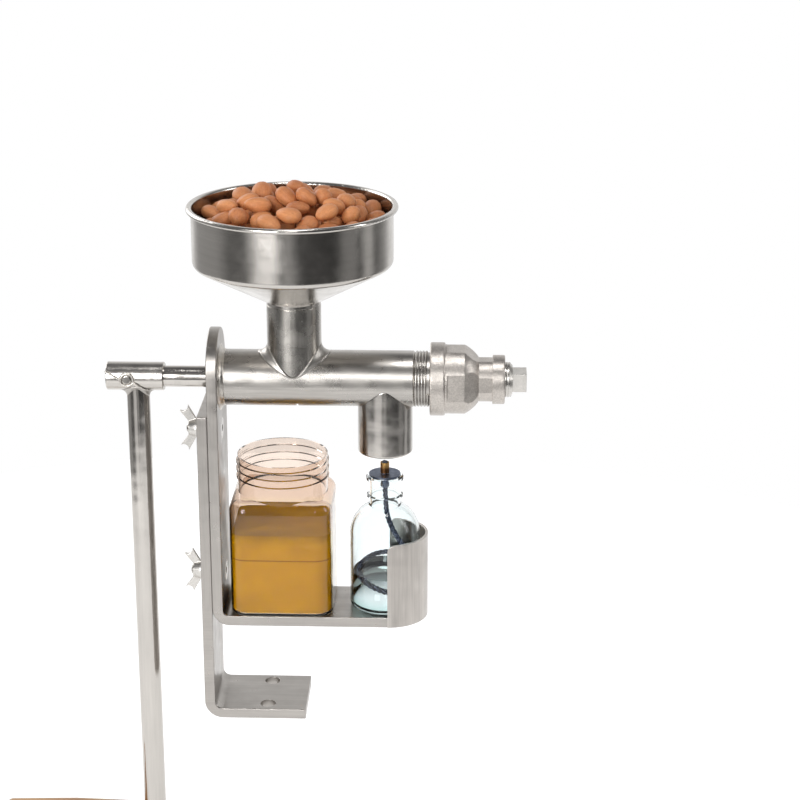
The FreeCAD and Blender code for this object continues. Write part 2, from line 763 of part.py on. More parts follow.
def make_crank():
    """Sleeve pinned to the shaft, and the long arm welded below it."""
    sleeve = turned("crank_sleeve", [
        (SLEEVE_INNER, "shaft_size / 2 + sleeve_slip"),
        (SLEEVE_INNER, "sleeve_outer / 2 - 0.5"),
        (f"{SLEEVE_INNER} - 0.5", "sleeve_outer / 2"),
        (f"{SLEEVE_OUTER} + 0.5", "sleeve_outer / 2"),
        (SLEEVE_OUTER, "sleeve_outer / 2 - 0.5"),
        (SLEEVE_OUTER, "shaft_size / 2 + sleeve_slip"),
    ], z="axis_height")
    bore_across(sleeve, "sleeve_pin_hole", "XZ_Plane", PIN_X, "0", "pin_size / 2 + sleeve_slip")
    arm = turned("crank_arm", [
        ("arm_bore / 2", "0 - crank_throw - arm_end"),
        ("arm_outer / 2", "0 - crank_throw - arm_end"),
        ("arm_outer / 2", "0"),
        ("arm_bore / 2", "0"),
    ], x=ARM_X, z="axis_height", axis="V_Axis")
    bore_across(arm, "sleeve_curve", "YZ_Plane", "0", "0", "sleeve_outer / 2")
    bore_across(arm, "spindle_hole", "YZ_Plane", "0", "0 - crank_throw", "spindle_size / 2 + sleeve_slip")
    saddle_weld("arm_weld", "sleeve_outer", "arm_outer", "arm_blend", ARM_X, down=True)


def make_cross_pin():
    """Pin through sleeve and shaft, and the weld bead that keeps it in."""
    half = "(sleeve_outer / 2 + pin_proud)"
    body = new_body("cross_pin", PIN_X, "0", "axis_height")
    sketch = new_sketch(body, "XY_Plane", "pin_profile")
    outline(sketch, [
        ("0", f"0 - {half}"),
        ("pin_size / 2 - 0.8", f"0 - {half}", "0.8", -1),
        ("pin_size / 2", f"0.8 - {half}"),
        ("pin_size / 2", f"{half} - 0.8", "0.8", -1),
        ("pin_size / 2 - 0.8", half),
        ("0", half),
    ])
    revolve(body, sketch, axis="V_Axis")
    bead = new_body("pin_weld", PIN_X, "0", "axis_height")
    sketch = new_sketch(bead, "XY_Plane", "bead_profile")
    circle(sketch, "pin_size / 2 + pin_weld / 2", "0.4 - sleeve_outer / 2", "pin_weld / 2")
    revolve(bead, sketch, axis="V_Axis")
    bore_across(bead, "sleeve_face", "YZ_Plane", "0", "0", "sleeve_outer / 2")


def make_grip():
    """Free-turning grip on a bolt through the lower end of the arm."""
    round_off = "grip_round"
    outer = "grip_outer / 2"
    bore = "spindle_size / 2 + grip_play"
    turned("grip", [
        (GRIP_OUTER, bore),
        (GRIP_OUTER, f"{outer} - {round_off}", round_off, 1),
        (f"{GRIP_OUTER} + {round_off}", outer),
        (f"({GRIP_OUTER} + {GRIP_INNER}) / 2", f"{outer} + 1.2"),
        (f"{GRIP_INNER} - {round_off}", outer, round_off, 1),
        (GRIP_INNER, f"{outer} - {round_off}"),
        (GRIP_INNER, bore),
    ], z=GRIP_HEIGHT)
    head = f"({GRIP_OUTER} - grip_play)"
    nut_seat = f"({ARM_X} + arm_outer / 2)"
    turned("grip_spindle", [
        (f"{head} - spindle_head_length", "0"),
        (f"{head} - spindle_head_length", "spindle_head / 4", "spindle_head / 2", 1),
        (f"{head} - 1", "spindle_head / 2"),
        (head, "spindle_head / 2"),
        (head, "spindle_size / 2"),
        (f"{nut_seat} + hex_nut_length + 1", "spindle_size / 2"),
        (f"{nut_seat} + hex_nut_length + 2", "spindle_size / 2 - 1"),
        (f"{nut_seat} + hex_nut_length + 2", "0"),
    ], z=GRIP_HEIGHT)
    nut = new_body("spindle_nut", nut_seat, "0", GRIP_HEIGHT)
    sketch = new_sketch(nut, "YZ_Plane", "nut_flats")
    outline(sketch, polygon("hex_nut_flats", 6))
    pad(nut, sketch, "hex_nut_length")
    bore_across(nut, "nut_bore", "YZ_Plane", "0", "0", "spindle_size / 2 + sleeve_slip")


# Outlet end

def make_coupling():
    """Cast reducing coupling: two bands, a domed body with four flat panels and a waist."""
    body_start = "band_length"
    dome_start = "(band_length + body_length)"
    waist_start = f"({dome_start} + dome_length)"
    lip_start = f"({waist_start} + waist_length)"
    lip_end = f"({lip_start} + lip_length)"
    inside = f"({RING_FRONT} + seat_gap - {COUPLING})"
    large, small = "barrel_outer / 2 + thread_play", "plug_outer / 2 + thread_play"
    edge = "cast_edge"
    body = turned("coupling", [
        ("0", large),
        ("0", f"band_outer / 2 - {edge}", edge, 1),
        (edge, "band_outer / 2"),
        (f"{body_start} - {edge}", "band_outer / 2", edge, 1),
        (body_start, f"band_outer / 2 - {edge}"),
        (body_start, "body_outer / 2"),
        (dome_start, "body_outer / 2", "dome_radius", 1),
        (waist_start, "waist_outer / 2"),
        (lip_start, "waist_outer / 2"),
        (lip_start, "lip_outer / 2"),
        (f"{lip_end} - {edge}", "lip_outer / 2", edge, 1),
        (lip_end, f"lip_outer / 2 - {edge}"),
        (lip_end, small),
        (f"{inside} + chamber_length", small),
        (inside, "barrel_bore / 2"),
        (inside, large),
    ], x=COUPLING, z="axis_height")
    high, low = "(body_outer / 2 - panel_depth)", "(waist_outer / 2 - panel_depth / 2)"
    clear = "(band_outer / 2 + 1)"
    panel = new_sketch(body, "XZ_Plane", "panel")
    outline(panel, [
        (f"{body_start} + 1.5", high),
        (dome_start, high),
        (waist_start, low),
        (lip_start, low),
        (lip_start, clear),
        (f"{body_start} + 1.5", clear),
    ])
    polar(body, drill(body, panel), panel, 4)
    return body


def make_plug():
    """Square-headed adjusting plug with the cake outlet through it, and the ring on its nose."""
    inner = f"({PLUG_END} - plug_length)"
    spigot = f"({inner} - choke_thickness - 2 * seat_gap)"
    thread = "plug_outer / 2"
    body = turned("adjusting_plug", [
        (spigot, "0"),
        (spigot, "plug_spigot / 2"),
        (inner, "plug_spigot / 2"),
        (inner, thread),
        (f"{PLUG_END} - plug_bevel", thread),
        (PLUG_END, f"{thread} - plug_bevel"),
        (PLUG_END, "0"),
    ], z="axis_height")
    square = new_sketch(body, "YZ_Plane", "plug_square", PLUG_END)
    outline(square, polygon("plug_square", 4, "6"))
    pad(body, square, "plug_square_length")
    bore_across(body, "cake_outlet", "YZ_Plane", "0", "0", "outlet_bore / 2")
    ring(
        "choke_ring",
        f"{inner} - seat_gap - choke_thickness",
        f"{inner} - seat_gap",
        "plug_spigot / 2 + running_play",
        f"{thread} - seat_gap",
    )


# Hopper

def make_hopper():
    """Spun bowl with a rolled rim; its spigot stands in the feed tube."""
    sheet = "hopper_sheet"
    foot = "feed_outer / 2"
    wall = "(hopper_rim / 2 - rim_overhang)"
    spigot = "(feed_bore / 2 - spigot_play)"
    slope = f"atan((hopper_cone_top - hopper_cone_foot) / ({wall} - {foot}))"
    tangent = f"tan(45deg - {slope} / 2)"
    inner_wall = f"({wall} - {sheet})"
    inner_top = f"(hopper_cone_top + {sheet} * (1 - sin({slope})) / cos({slope}))"
    inner_corner = f"(hopper_corner - {sheet})"
    roll = "(rim_roll / 2)"
    rim = "hopper_rim / 2"
    throat = f"({spigot} - {sheet})"
    return turned("hopper", [
        (throat, "0 - spigot_length"),
        (spigot, "0 - spigot_length"),
        (spigot, "seat_gap"),
        (foot, "seat_gap"),
        (foot, "hopper_cone_foot"),
        (f"{wall} - hopper_corner * {tangent} * cos({slope})",
         f"hopper_cone_top - hopper_corner * {tangent} * sin({slope})", "hopper_corner", -1),
        (wall, f"hopper_cone_top + hopper_corner * {tangent}"),
        (wall, f"hopper_height - 2 * {roll}"),
        (f"{rim} - {roll}", f"hopper_height - 2 * {roll}", roll, -1),
        (rim, f"hopper_height - {roll}", roll, -1),
        (f"{rim} - {roll}", "hopper_height"),
        (f"{inner_wall} + {roll}", "hopper_height", roll, -1),
        (inner_wall, f"hopper_height - {roll}"),
        (inner_wall, f"{inner_top} + {inner_corner} * {tangent}", inner_corner, 1),
        (f"{inner_wall} - {inner_corner} * {tangent} * cos({slope})",
         f"{inner_top} - {inner_corner} * {tangent} * sin({slope})"),
        (throat, f"{inner_top} - ({inner_wall} - {throat}) * tan({slope})"),
    ], x=FEED_X, z="axis_height + feed_rise", axis="V_Axis")


# Oil jar

def jar_form(label, inset, floor, top):
    """Square jar with a round neck, drawn in by inset, standing from floor to top."""
    body = new_body(label, JAR_X, "jar_back", "shelf_height")
    half_x, half_y = f"(jar_width / 2 - {inset})", f"(jar_depth / 2 - {inset})"
    corner = f"(jar_corner - {inset})"
    plan = new_sketch(body, "XY_Plane", f"{label}_plan", floor)
    outline(plan, [
        (f"0 - {half_x}", f"{corner} - {half_y}", corner, -1),
        (f"{corner} - {half_x}", f"0 - {half_y}"),
        (f"{half_x} - {corner}", f"0 - {half_y}", corner, -1),
        (half_x, f"{corner} - {half_y}"),
        (half_x, f"{half_y} - {corner}", corner, -1),
        (f"{half_x} - {corner}", half_y),
        (f"{corner} - {half_x}", half_y, corner, -1),
        (f"0 - {half_x}", f"{half_y} - {corner}"),
    ])
    pad(body, plan, f"jar_body_height - {inset} - {floor}")
    upper = value(f"jar_body_height - {inset}") - 1e-3
    lower = value(floor) + 1e-3
    round_edges(body, f"jar_shoulder - {inset}", lambda edge: edge.CenterOfMass.z > upper)
    round_edges(body, f"jar_shoulder / 3 - {inset} / 2", lambda edge: edge.CenterOfMass.z < lower)
    neck = new_sketch(body, "XY_Plane", f"{label}_neck", "jar_body_height - jar_shoulder")
    circle(neck, "0", "0", f"jar_neck / 2 - {inset}")
    pad(body, neck, f"{top} - jar_body_height + jar_shoulder")
    return body


def make_oil_jar():
    """Clear jar that catches the oil, with the ridges of its screw neck."""
    outside = jar_form("jar_outside", "0", "0", "jar_height")
    for number in range(3):
        low = f"(jar_height - 5 - {number} * 6)"
        ridge = new_sketch(outside, "XZ_Plane", f"jar_ridge_{number}")
        outline(ridge, [
            ("jar_neck / 2 - 0.5", f"{low} - 1.4"),
            ("jar_neck / 2 + jar_ridge", f"{low} - 0.5"),
            ("jar_neck / 2 + jar_ridge", f"{low} + 0.5"),
            ("jar_neck / 2 - 0.5", f"{low} + 1.4"),
        ])
        revolve(outside, ridge, axis="V_Axis")
    inside = jar_form("jar_inside", "jar_wall", "jar_floor", "(jar_height + 1)")
    jar = DOC.addObject("Part::Cut", "oil_jar")
    jar.Base = outside
    jar.Tool = inside
    return jar


# Spirit lamp

def make_lamp():
    """Glass bottle, wick holder and wick of the spirit lamp under the heating cup."""
    radius, neck = "(lamp_size / 2)", "(lamp_neck / 2)"
    wall = "lamp_wall"
    lip = "lamp_lip / 2"
    ring_low = "(lamp_shoulder + 6)"
    turned("lamp_bottle", [
        ("0", "0.8"),
        (f"{radius} - lamp_foot - 4", "0"),
        (f"{radius} - lamp_foot", "0", "lamp_foot", -1),
        (radius, "lamp_foot"),
        (radius, "lamp_straight", "lamp_size / 2", -1),
        (neck, "lamp_shoulder"),
        (neck, ring_low),
        (f"{lip} - 0.3", f"{ring_low} + 0.8"),
        (f"{lip} - 0.3", f"{ring_low} + 2"),
        (neck, f"{ring_low} + 2.8"),
        (neck, "lamp_height - lamp_lip_height - 0.8"),
        (lip, "lamp_height - lamp_lip_height"),
        (lip, "lamp_height - 1"),
        (f"{lip} - 1", "lamp_height"),
        (f"{neck} - {wall}", "lamp_height"),
        (f"{neck} - {wall}", f"lamp_shoulder - {wall} / 2", f"lamp_size / 2 - {wall}", 1),
        (f"{radius} - {wall}", "lamp_straight"),
        (f"{radius} - {wall}", f"lamp_foot + {wall} / 2", f"lamp_foot - {wall} / 2", 1),
        (f"{radius} - lamp_foot - {wall} / 2", wall),
        ("0", f"{wall} + 0.8"),
    ], x=LAMP_X, z="shelf_height", axis="V_Axis")
    turned("wick_holder", [
        ("holder_bore / 2", "0 - holder_below"),
        ("holder_tube / 2", "0 - holder_below"),
        ("holder_tube / 2", "0"),
        ("holder_flange / 2", "0"),
        ("holder_flange / 2", "holder_flange_height"),
        ("holder_tube / 2", "holder_flange_height"),
        ("holder_tube / 2", "holder_above"),
        ("holder_bore / 2", "holder_above"),
    ], x=LAMP_X, z="shelf_height + lamp_height", axis="V_Axis")
    make_wick()


# Way of the wick from inside the holder, in the lamp's own frame: down the neck, across to the wall
# and once round the base.
WICK_ROUTE = (
    (0.0, 0.0, 101.0),
    (0.4, 0.1, 85.5),
    (1.6, 0.0, 71.0),
    (7.6, -4.0, 59.0),
    (14.8, -7.2, 48.5),
    (20.6, -0.8, 39.8),
    (20.4, 11.6, 36.0),
    (10.6, 20.0, 34.6),
    (-2.6, 21.6, 33.6),
    (-13.5, 16.0, 32.0),
    (-20.3, 5.0, 29.0),
    (-19.3, -8.0, 25.0),
    (-11.0, -17.8, 21.0),
    (1.5, -20.8, 17.0),
    (13.5, -15.8, 13.0),
    (20.2, -5.0, 9.5),
    (20.0, 7.0, 6.5),
)


def rounded_path(points):
    """Straight runs through the points, joined by tangent arcs as large as the runs allow."""
    edges = []
    here = points[0]
    for before, corner, after in zip(points, points[1:], points[2:]):
        inward, onward = corner - before, after - corner
        cut = 0.45 * min(inward.Length, onward.Length)
        turn = inward.getAngle(onward)
        start = corner - inward * (cut / inward.Length)
        end = corner + onward * (cut / onward.Length)
        radius = cut / math.tan(turn / 2)
        centre_way = (start + end) * 0.5 - corner
        reach = cut / math.sin(turn / 2) if turn else 0
        middle = corner + centre_way.normalize() * (math.hypot(radius, cut) - radius)
        print(f"wick bend radius {radius:.1f}, run {inward.Length:.1f}")
        edges += [Part.LineSegment(here, start).toShape(), Part.Arc(start, middle, end).toShape()]
        here = end
    edges.append(Part.LineSegment(here, points[-1]).toShape())
    return Part.Wire(edges)


def make_wick():
    """Cotton wick: a plain tube along its route, from above the holder to the bottle's base."""
    tip = value("lamp_height + holder_above + wick_above")
    points = [FreeCAD.Vector(0, 0, tip)] + [FreeCAD.Vector(*point) for point in WICK_ROUTE]
    path = rounded_path(points)
    section = Part.Wire(Part.makeCircle(value("wick_size / 2"), points[0], FreeCAD.Vector(0, 0, -1)))
    wick = DOC.addObject("Part::Feature", "wick")
    wick.Shape = path.makePipeShell([section], True, True)
    ideal = section.Length ** 2 / (4 * math.pi) * path.Length
    print(f"wick volume over section times length {wick.Shape.Volume / ideal:.4f}")
    return place(wick, LAMP_X, "0", "shelf_height")


# Document

def build():
    """Make every sub-part."""
    make_stand()
    make_head_plate()
    for side, height in (("upper", UPPER_BOLT), ("lower", LOWER_BOLT)):
        make_clamp(side, height)
    make_barrel()
    make_barrel_weld()
    make_feed_tube()
    saddle_weld("feed_weld", "barrel_outer", "feed_outer", "feed_blend", FEED_X)
    make_heating_cup()
    make_bottle_guard()
    make_bushing()
    make_race("thrust_race_rear", REAR_RACE, REAR_RACE_FACE, "shaft_size / 2 + 3 * running_play")
    make_race("thrust_race_front", FRONT_RACE_FACE, COLLAR, "shaft_size / 2 + sleeve_slip")
    make_cage()
    make_balls()
    make_press_screw()
    make_crank()
    make_cross_pin()
    make_grip()
    make_coupling()
    ring("barrel_seal", f"{BARREL_END} + seat_gap", RING_FRONT, "barrel_bore / 2", "barrel_outer / 2 - seat_gap")
    make_plug()
    make_hopper()
    make_oil_jar()
    make_lamp()


def sub_parts():
    """The shapes that are parts in their own right: nothing else in the document uses them."""
    used = {link for thing in DOC.Objects if thing.TypeId.startswith("Part::") for link in thing.OutList}
    kinds = ("Part::", "PartDesign::Body")
    return [
        thing for thing in DOC.Objects
        if thing.TypeId.startswith(kinds) and thing not in used and thing.getParentGeoFeatureGroup() is None
    ]


def check_and_write():
    """Stop at a failed object, then write one STEP file for each sub-part."""
    DOC.recompute()
    failed = [thing.Label for thing in DOC.Objects if {"Invalid", "Error"} & set(thing.State)]
    if failed:
        raise RuntimeError(f"failed objects: {failed}")
    parts = sub_parts()
    for part in parts:
        if part.Shape.isNull() or not part.Shape.isValid():
            raise RuntimeError(f"{part.Label} has no valid shape")
    os.makedirs("parts", exist_ok=True)
    for part in parts:
        part.Shape.exportStep(os.path.join("parts", f"{part.Label}.step"))
        print(f"{part.Label:20s} {len(part.Shape.Solids)} solid(s) {part.Shape.Volume / 1000:9.2f} cm3")


build()
check_and_write()
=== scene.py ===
"""Looks of the hand-cranked screw oil press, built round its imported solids.

Metres, +Z up, +X along the barrel towards the cake outlet, with the foot's underside at height 0,
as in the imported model.
"""

import logging
import math
from dataclasses import dataclass
from enum import Enum

import bmesh
import bpy
import numpy as np
from mathutils import Euler, Matrix, Vector


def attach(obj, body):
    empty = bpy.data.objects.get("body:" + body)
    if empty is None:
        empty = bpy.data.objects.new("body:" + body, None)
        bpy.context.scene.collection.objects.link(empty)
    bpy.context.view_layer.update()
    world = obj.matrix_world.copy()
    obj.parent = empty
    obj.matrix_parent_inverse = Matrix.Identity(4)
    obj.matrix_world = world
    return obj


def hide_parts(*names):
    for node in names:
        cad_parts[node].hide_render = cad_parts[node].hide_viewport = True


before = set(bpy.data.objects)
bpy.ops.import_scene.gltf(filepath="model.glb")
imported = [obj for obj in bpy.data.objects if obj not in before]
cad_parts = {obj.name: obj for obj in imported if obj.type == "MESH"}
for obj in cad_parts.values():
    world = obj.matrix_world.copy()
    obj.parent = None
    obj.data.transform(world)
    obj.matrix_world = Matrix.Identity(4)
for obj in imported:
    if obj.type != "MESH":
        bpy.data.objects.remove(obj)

LOG = logging.getLogger("oil_press")
MM = 0.001
AXIS_HEIGHT = 0.2685
AXIS = (0.0, 0.0, AXIS_HEIGHT)
FEED_AXIS = (0.0234, 0.0, 0.0)
TO_X = (0.0, math.pi / 2, 0.0)
Colour = tuple[float, float, float]
Mesh = bpy.types.Mesh
Node = bpy.types.Node
Socket = bpy.types.NodeSocket
Tree = bpy.types.NodeTree
Feed = Socket | float | tuple
Feeds = dict[str | int, Feed]


# Node trees

class Graph:
    """Puts nodes into one tree and joins them."""

    def __init__(self, tree: Tree) -> None:
        """Works on tree."""
        self.tree = tree

    def add(self, kind: str, feeds: Feeds | None = None, **settings: object) -> Node:
        """Adds one node.

        Args:
            kind: the node's type name.
            feeds: what goes into its inputs, a socket or a constant, by input name or number.
            **settings: the node's own settings.

        Returns:
            The node.
        """
        node = self.tree.nodes.new(kind)
        for name, setting in settings.items():
            setattr(node, name, setting)
        for key, feed in (feeds or {}).items():
            self.feed(node.inputs[key], feed)
        return node

    def feed(self, socket: Socket, feed: Feed) -> None:
        """Joins a socket, or sets a constant, on an input."""
        if isinstance(feed, Socket):
            self.tree.links.new(feed, socket)
        else:
            socket.default_value = feed

    def sum(self, operation: str, *terms: Feed) -> Socket:
        """One step of arithmetic on its terms."""
        return self.add("ShaderNodeMath", dict(enumerate(terms)), operation=operation).outputs[0]

    def vector(self, operation: str, *terms: Feed) -> Socket:
        """One step of vector arithmetic; a dot product or a length comes out as a number."""
        node = self.add("ShaderNodeVectorMath", dict(enumerate(terms)), operation=operation)
        return node.outputs[1] if operation in ("DOT_PRODUCT", "LENGTH") else node.outputs[0]

    def noise(self, place: Feed, scale: Feed, detail: float = 2.0, rough: float = 0.5) -> Socket:
        """Soft noise from 0 to 1."""
        feeds = {"Vector": place, "Scale": scale, "Detail": detail, "Roughness": rough}
        return self.add("ShaderNodeTexNoise", feeds).outputs[0]

    def parts(self, place: Feed) -> tuple[Socket, ...]:
        """The three numbers of a place."""
        return tuple(self.add("ShaderNodeSeparateXYZ", {0: place}).outputs)

    def bump(self, height: Feed, strength: float, distance: float, normal: Socket | None = None) -> Socket:
        """A normal that a height lifts."""
        feeds = {"Height": height, "Strength": strength, "Distance": distance}
        if normal is not None:
            feeds["Normal"] = normal
        return self.add("ShaderNodeBump", feeds).outputs[0]

    def fill(self, sockets: object, feeds: Feeds) -> None:
        """Feeds several inputs by their names."""
        for name, feed in feeds.items():
            self.feed(sockets[name], feed)

    def span(self, value: Feed, low: float, high: float, to_low: Feed, to_high: Feed) -> Socket:
        """Maps the span low to high onto another, and holds the ends."""
        return self.add("ShaderNodeMapRange", {0: value, 1: low, 2: high, 3: to_low, 4: to_high}).outputs[0]

    def mix(self, share: Feed, first: Feed, second: Feed, blend: str = "MIX") -> Socket:
        """Mixes two colours."""
        feeds = {0: share, 6: paint(first), 7: paint(second)}
        return self.add("ShaderNodeMix", feeds, data_type="RGBA", blend_type=blend).outputs[2]

    def ramp(self, value: Feed, stops: tuple[tuple[float, float], ...]) -> Socket:
        """A grey level that follows (place, level) stops."""
        node = self.add("ShaderNodeValToRGB", {0: value})
        points = node.color_ramp.elements
        while len(points) < len(stops):
            points.new(0.5)
        for point, (place, level) in zip(points, stops):
            point.position = place
            point.color = (level, level, level, 1.0)
        return node.outputs[0]


def paint(colour: Feed) -> Feed:
    """A colour of three numbers with its alpha; anything else as it is."""
    return (*colour, 1.0) if isinstance(colour, tuple) and len(colour) == 3 else colour


def toned(colour: Colour, factor: float) -> Colour:
    """A colour made darker or lighter."""
    return tuple(min(1.0, part * factor) for part in colour)


SOCKETS = {
    "number": "NodeSocketFloat",
    "vector": "NodeSocketVector",
    "colour": "NodeSocketColor",
    "geometry": "NodeSocketGeometry",
    "material": "NodeSocketMaterial",
    "whole": "NodeSocketInt",
}


def new_tree(
        name: str, kind: str, inputs: dict[str, str], outputs: dict[str, str]) -> tuple[Graph, dict, Node]:
    """Starts a node group.

    Args:
        name: the group's name.
        kind: the type name of the tree.
        inputs: kind of each named input.
        outputs: kind of each named output.

    Returns:
        The graph to build in, its input sockets by name, and the node that takes the outputs.
    """
    tree = bpy.data.node_groups.new(name, kind)
    for side, sockets in (("INPUT", inputs), ("OUTPUT", outputs)):
        for socket, what in sockets.items():
            tree.interface.new_socket(name=socket, in_out=side, socket_type=SOCKETS[what])
    graph = Graph(tree)
    source = graph.add("NodeGroupInput")
    return graph, {socket: source.outputs[socket] for socket in inputs}, graph.add("NodeGroupOutput")


# Shader groups that several finishes share

def polish_lines() -> Tree:
    """Lines that polishing leaves, running along the first axis of Vector."""
    graph, inputs, out = new_tree(
        "polish_lines", "ShaderNodeTree",
        {"Vector": "vector", "Along": "number", "Across": "number"},
        {"Shade": "number", "Height": "number"})
    scale = graph.add("ShaderNodeCombineXYZ", {0: inputs["Along"], 1: inputs["Across"], 2: inputs["Across"]})
    place = graph.vector("MULTIPLY", inputs["Vector"], scale.outputs[0])
    fine = graph.noise(place, 1.0, 2.0)
    broad = graph.noise(graph.vector("MULTIPLY", place, (0.35, 0.11, 0.11)), 1.0, 3.0, 0.6)
    blend = graph.sum("MULTIPLY_ADD", fine, 0.4, graph.sum("MULTIPLY", broad, 0.6))
    graph.feed(out.inputs["Shade"], graph.span(blend, 0.3, 0.7, 0.0, 1.0))
    graph.feed(out.inputs["Height"], fine)
    return graph.tree


def wear_and_highlight_edges() -> Tree:
    """Softened normals, and a mask of the edges; finishes lighten the colour there, partly for handling wear
    and partly as a painted highlight.
    """
    graph, inputs, out = new_tree(
        "wear_and_highlight_edges", "ShaderNodeTree", {"Radius": "number"}, {"Normal": "vector", "Edge": "number"})
    soft = graph.add("ShaderNodeBevel", {"Radius": inputs["Radius"]}, samples=4).outputs[0]
    true = graph.add("ShaderNodeNewGeometry").outputs["Normal"]
    turn = graph.sum("SUBTRACT", 1.0, graph.vector("DOT_PRODUCT", soft, true))
    graph.feed(out.inputs["Normal"], soft)
    graph.feed(out.inputs["Edge"], graph.span(turn, 0.02, 0.25, 0.0, 1.0))
    return graph.tree


def handling_marks() -> Tree:
    """Uneven sheen of handled metal: a value between Low and High in soft patches."""
    graph, inputs, out = new_tree(
        "handling_marks", "ShaderNodeTree",
        {"Vector": "vector", "Size": "number", "Low": "number", "High": "number"}, {"Value": "number"})
    patch = graph.noise(inputs["Vector"], graph.sum("DIVIDE", 1.0, inputs["Size"]), 3.0, 0.6)
    graph.feed(out.inputs["Value"], graph.span(patch, 0.3, 0.7, inputs["Low"], inputs["High"]))
    return graph.tree


def cast_skin() -> Tree:
    """Grainy skin of a casting or a weld, with grains about Size across."""
    graph, inputs, out = new_tree(
        "cast_skin", "ShaderNodeTree",
        {"Vector": "vector", "Size": "number"}, {"Height": "number", "Shade": "number"})
    often = graph.sum("DIVIDE", 1.0, inputs["Size"])
    grain = graph.noise(inputs["Vector"], often, 3.0, 0.65)
    pits = graph.add(
        "ShaderNodeTexVoronoi", {"Vector": inputs["Vector"], "Scale": often}, feature="SMOOTH_F1")
    graph.feed(out.inputs["Height"], graph.sum("MULTIPLY_ADD", pits.outputs[0], 0.5, grain))
    graph.feed(out.inputs["Shade"], graph.span(grain, 0.35, 0.65, 0.0, 1.0))
    return graph.tree


class Effects:
    """The shared shader groups, each built when it is first wanted."""

    makers = {maker.__name__: maker for maker in (polish_lines, wear_and_highlight_edges, handling_marks, cast_skin)}

    @classmethod
    def place(cls, graph: Graph, name: str, feeds: Feeds) -> Node:
        """Puts one shared group into a material, with its own values."""
        tree = bpy.data.node_groups.get(name) or cls.makers[name]()
        node = graph.add("ShaderNodeGroup", node_tree=tree)
        graph.fill(node.inputs, feeds)
        return node


# Finishes

class Lie(Enum):
    """Way that the lines of a polished surface run."""

    ALONG_X = "along the barrel"
    ALONG_Z = "upright"
    ALONG_BAR = "along a bar that is bent from flat to upright"
    ROUND_X = "turned about an axis along the barrel"
    ROUND_Z = "spun about an upright axis"


FINISHED: dict[str, bpy.types.Material] = {}


@dataclass(frozen=True)
class Finish:
    """A named surface; every finish makes its own material once."""

    name: str

    def material(self) -> bpy.types.Material:
        """The material, made when it is first asked for."""
        made = FINISHED.get(self.name)
        if made:
            return made
        made = FINISHED[self.name] = bpy.data.materials.new(f"{self.name}_finish")
        made.use_nodes = True
        made.node_tree.nodes.clear()
        graph = Graph(made.node_tree)
        shader = graph.add("ShaderNodeBsdfPrincipled")
        out = graph.add("ShaderNodeOutputMaterial")
        graph.feed(out.inputs["Surface"], shader.outputs[0])
        place = graph.add("ShaderNodeTexCoord").outputs["Object"]
        self.build(graph, shader.inputs, place)
        return made

    def build(self, graph: Graph, shader: object, place: Socket) -> None:
        """Fills the material; each finish has its own way."""
        raise NotImplementedError


@dataclass(frozen=True)
class Steel(Finish):
    """Stainless steel with its polishing lines, patchy sheen, and edges lightened partly for wear and partly
    as a painted highlight.
    """

    colour: Colour = (0.50, 0.475, 0.445)
    lie: Lie = Lie.ALONG_Z
    centre: Colour = (0.0, 0.0, 0.0)
    rough: tuple[float, float] = (0.22, 0.36)
    across: float = 900.0
    contrast: float = 0.16
    wave: float = 0.4 * MM
    waves: float = 55.0
    line_depth: float = 0.03 * MM
    # Lightening of the edges: partly wear, partly a painted highlight.
    edge_wear_and_highlight: float = 1.45
    edge: float = 0.5 * MM
    bend_height: float = 0.09

    def lines(self, graph: Graph, place: Socket) -> Socket:
        """Place on the piece with the way of the lines first."""
        local = graph.vector("SUBTRACT", place, self.centre)
        x, y, z = graph.parts(local)
        if self.lie is Lie.ALONG_X:
            return local
        if self.lie is Lie.ALONG_Z:
            return graph.add("ShaderNodeCombineXYZ", {0: z, 1: x, 2: y}).outputs[0]
        if self.lie is Lie.ALONG_BAR:
            upright = graph.sum("GREATER_THAN", z, self.bend_height)
            turned = graph.add("ShaderNodeCombineXYZ", {0: z, 1: y, 2: x}).outputs[0]
            feeds = {0: upright, 4: local, 5: turned}
            return graph.add("ShaderNodeMix", feeds, data_type="VECTOR").outputs[1]
        first, second, along = (x, y, z) if self.lie is Lie.ROUND_Z else (y, z, x)
        squares = graph.sum("MULTIPLY_ADD", first, first, graph.sum("MULTIPLY", second, second))
        reach = graph.sum("SQRT", squares)
        return graph.add("ShaderNodeCombineXYZ", {0: 0.0, 1: reach, 2: along}).outputs[0]

    def build(self, graph: Graph, shader: object, place: Socket) -> None:
        """Lines shade the colour and lift the surface; patches change the sheen."""
        lines = Effects.place(graph, "polish_lines", {
            "Vector": self.lines(graph, place), "Along": 25.0, "Across": self.across})
        edge_wear_and_highlight = Effects.place(graph, "wear_and_highlight_edges", {"Radius": self.edge})
        marks = Effects.place(graph, "handling_marks", {
            "Vector": place, "Size": 14 * MM, "Low": self.rough[0], "High": self.rough[1]})
        dark, light = toned(self.colour, 1 - self.contrast), toned(self.colour, 1 + self.contrast)
        shade = graph.mix(lines.outputs["Shade"], dark, light)
        waved = graph.bump(graph.noise(place, self.waves, 1.0), 1.0, self.wave, edge_wear_and_highlight.outputs["Normal"])
        # Edges get a lighter copy of the colour: partly wear, partly a painted highlight.
        graph.fill(shader, {
            "Base Color": graph.mix(edge_wear_and_highlight.outputs["Edge"], shade, toned(self.colour, self.edge_wear_and_highlight)),
            "Roughness": marks.outputs[0],
            "Metallic": 1.0,
            "Normal": graph.bump(lines.outputs["Height"], 0.35, self.line_depth, waved)})


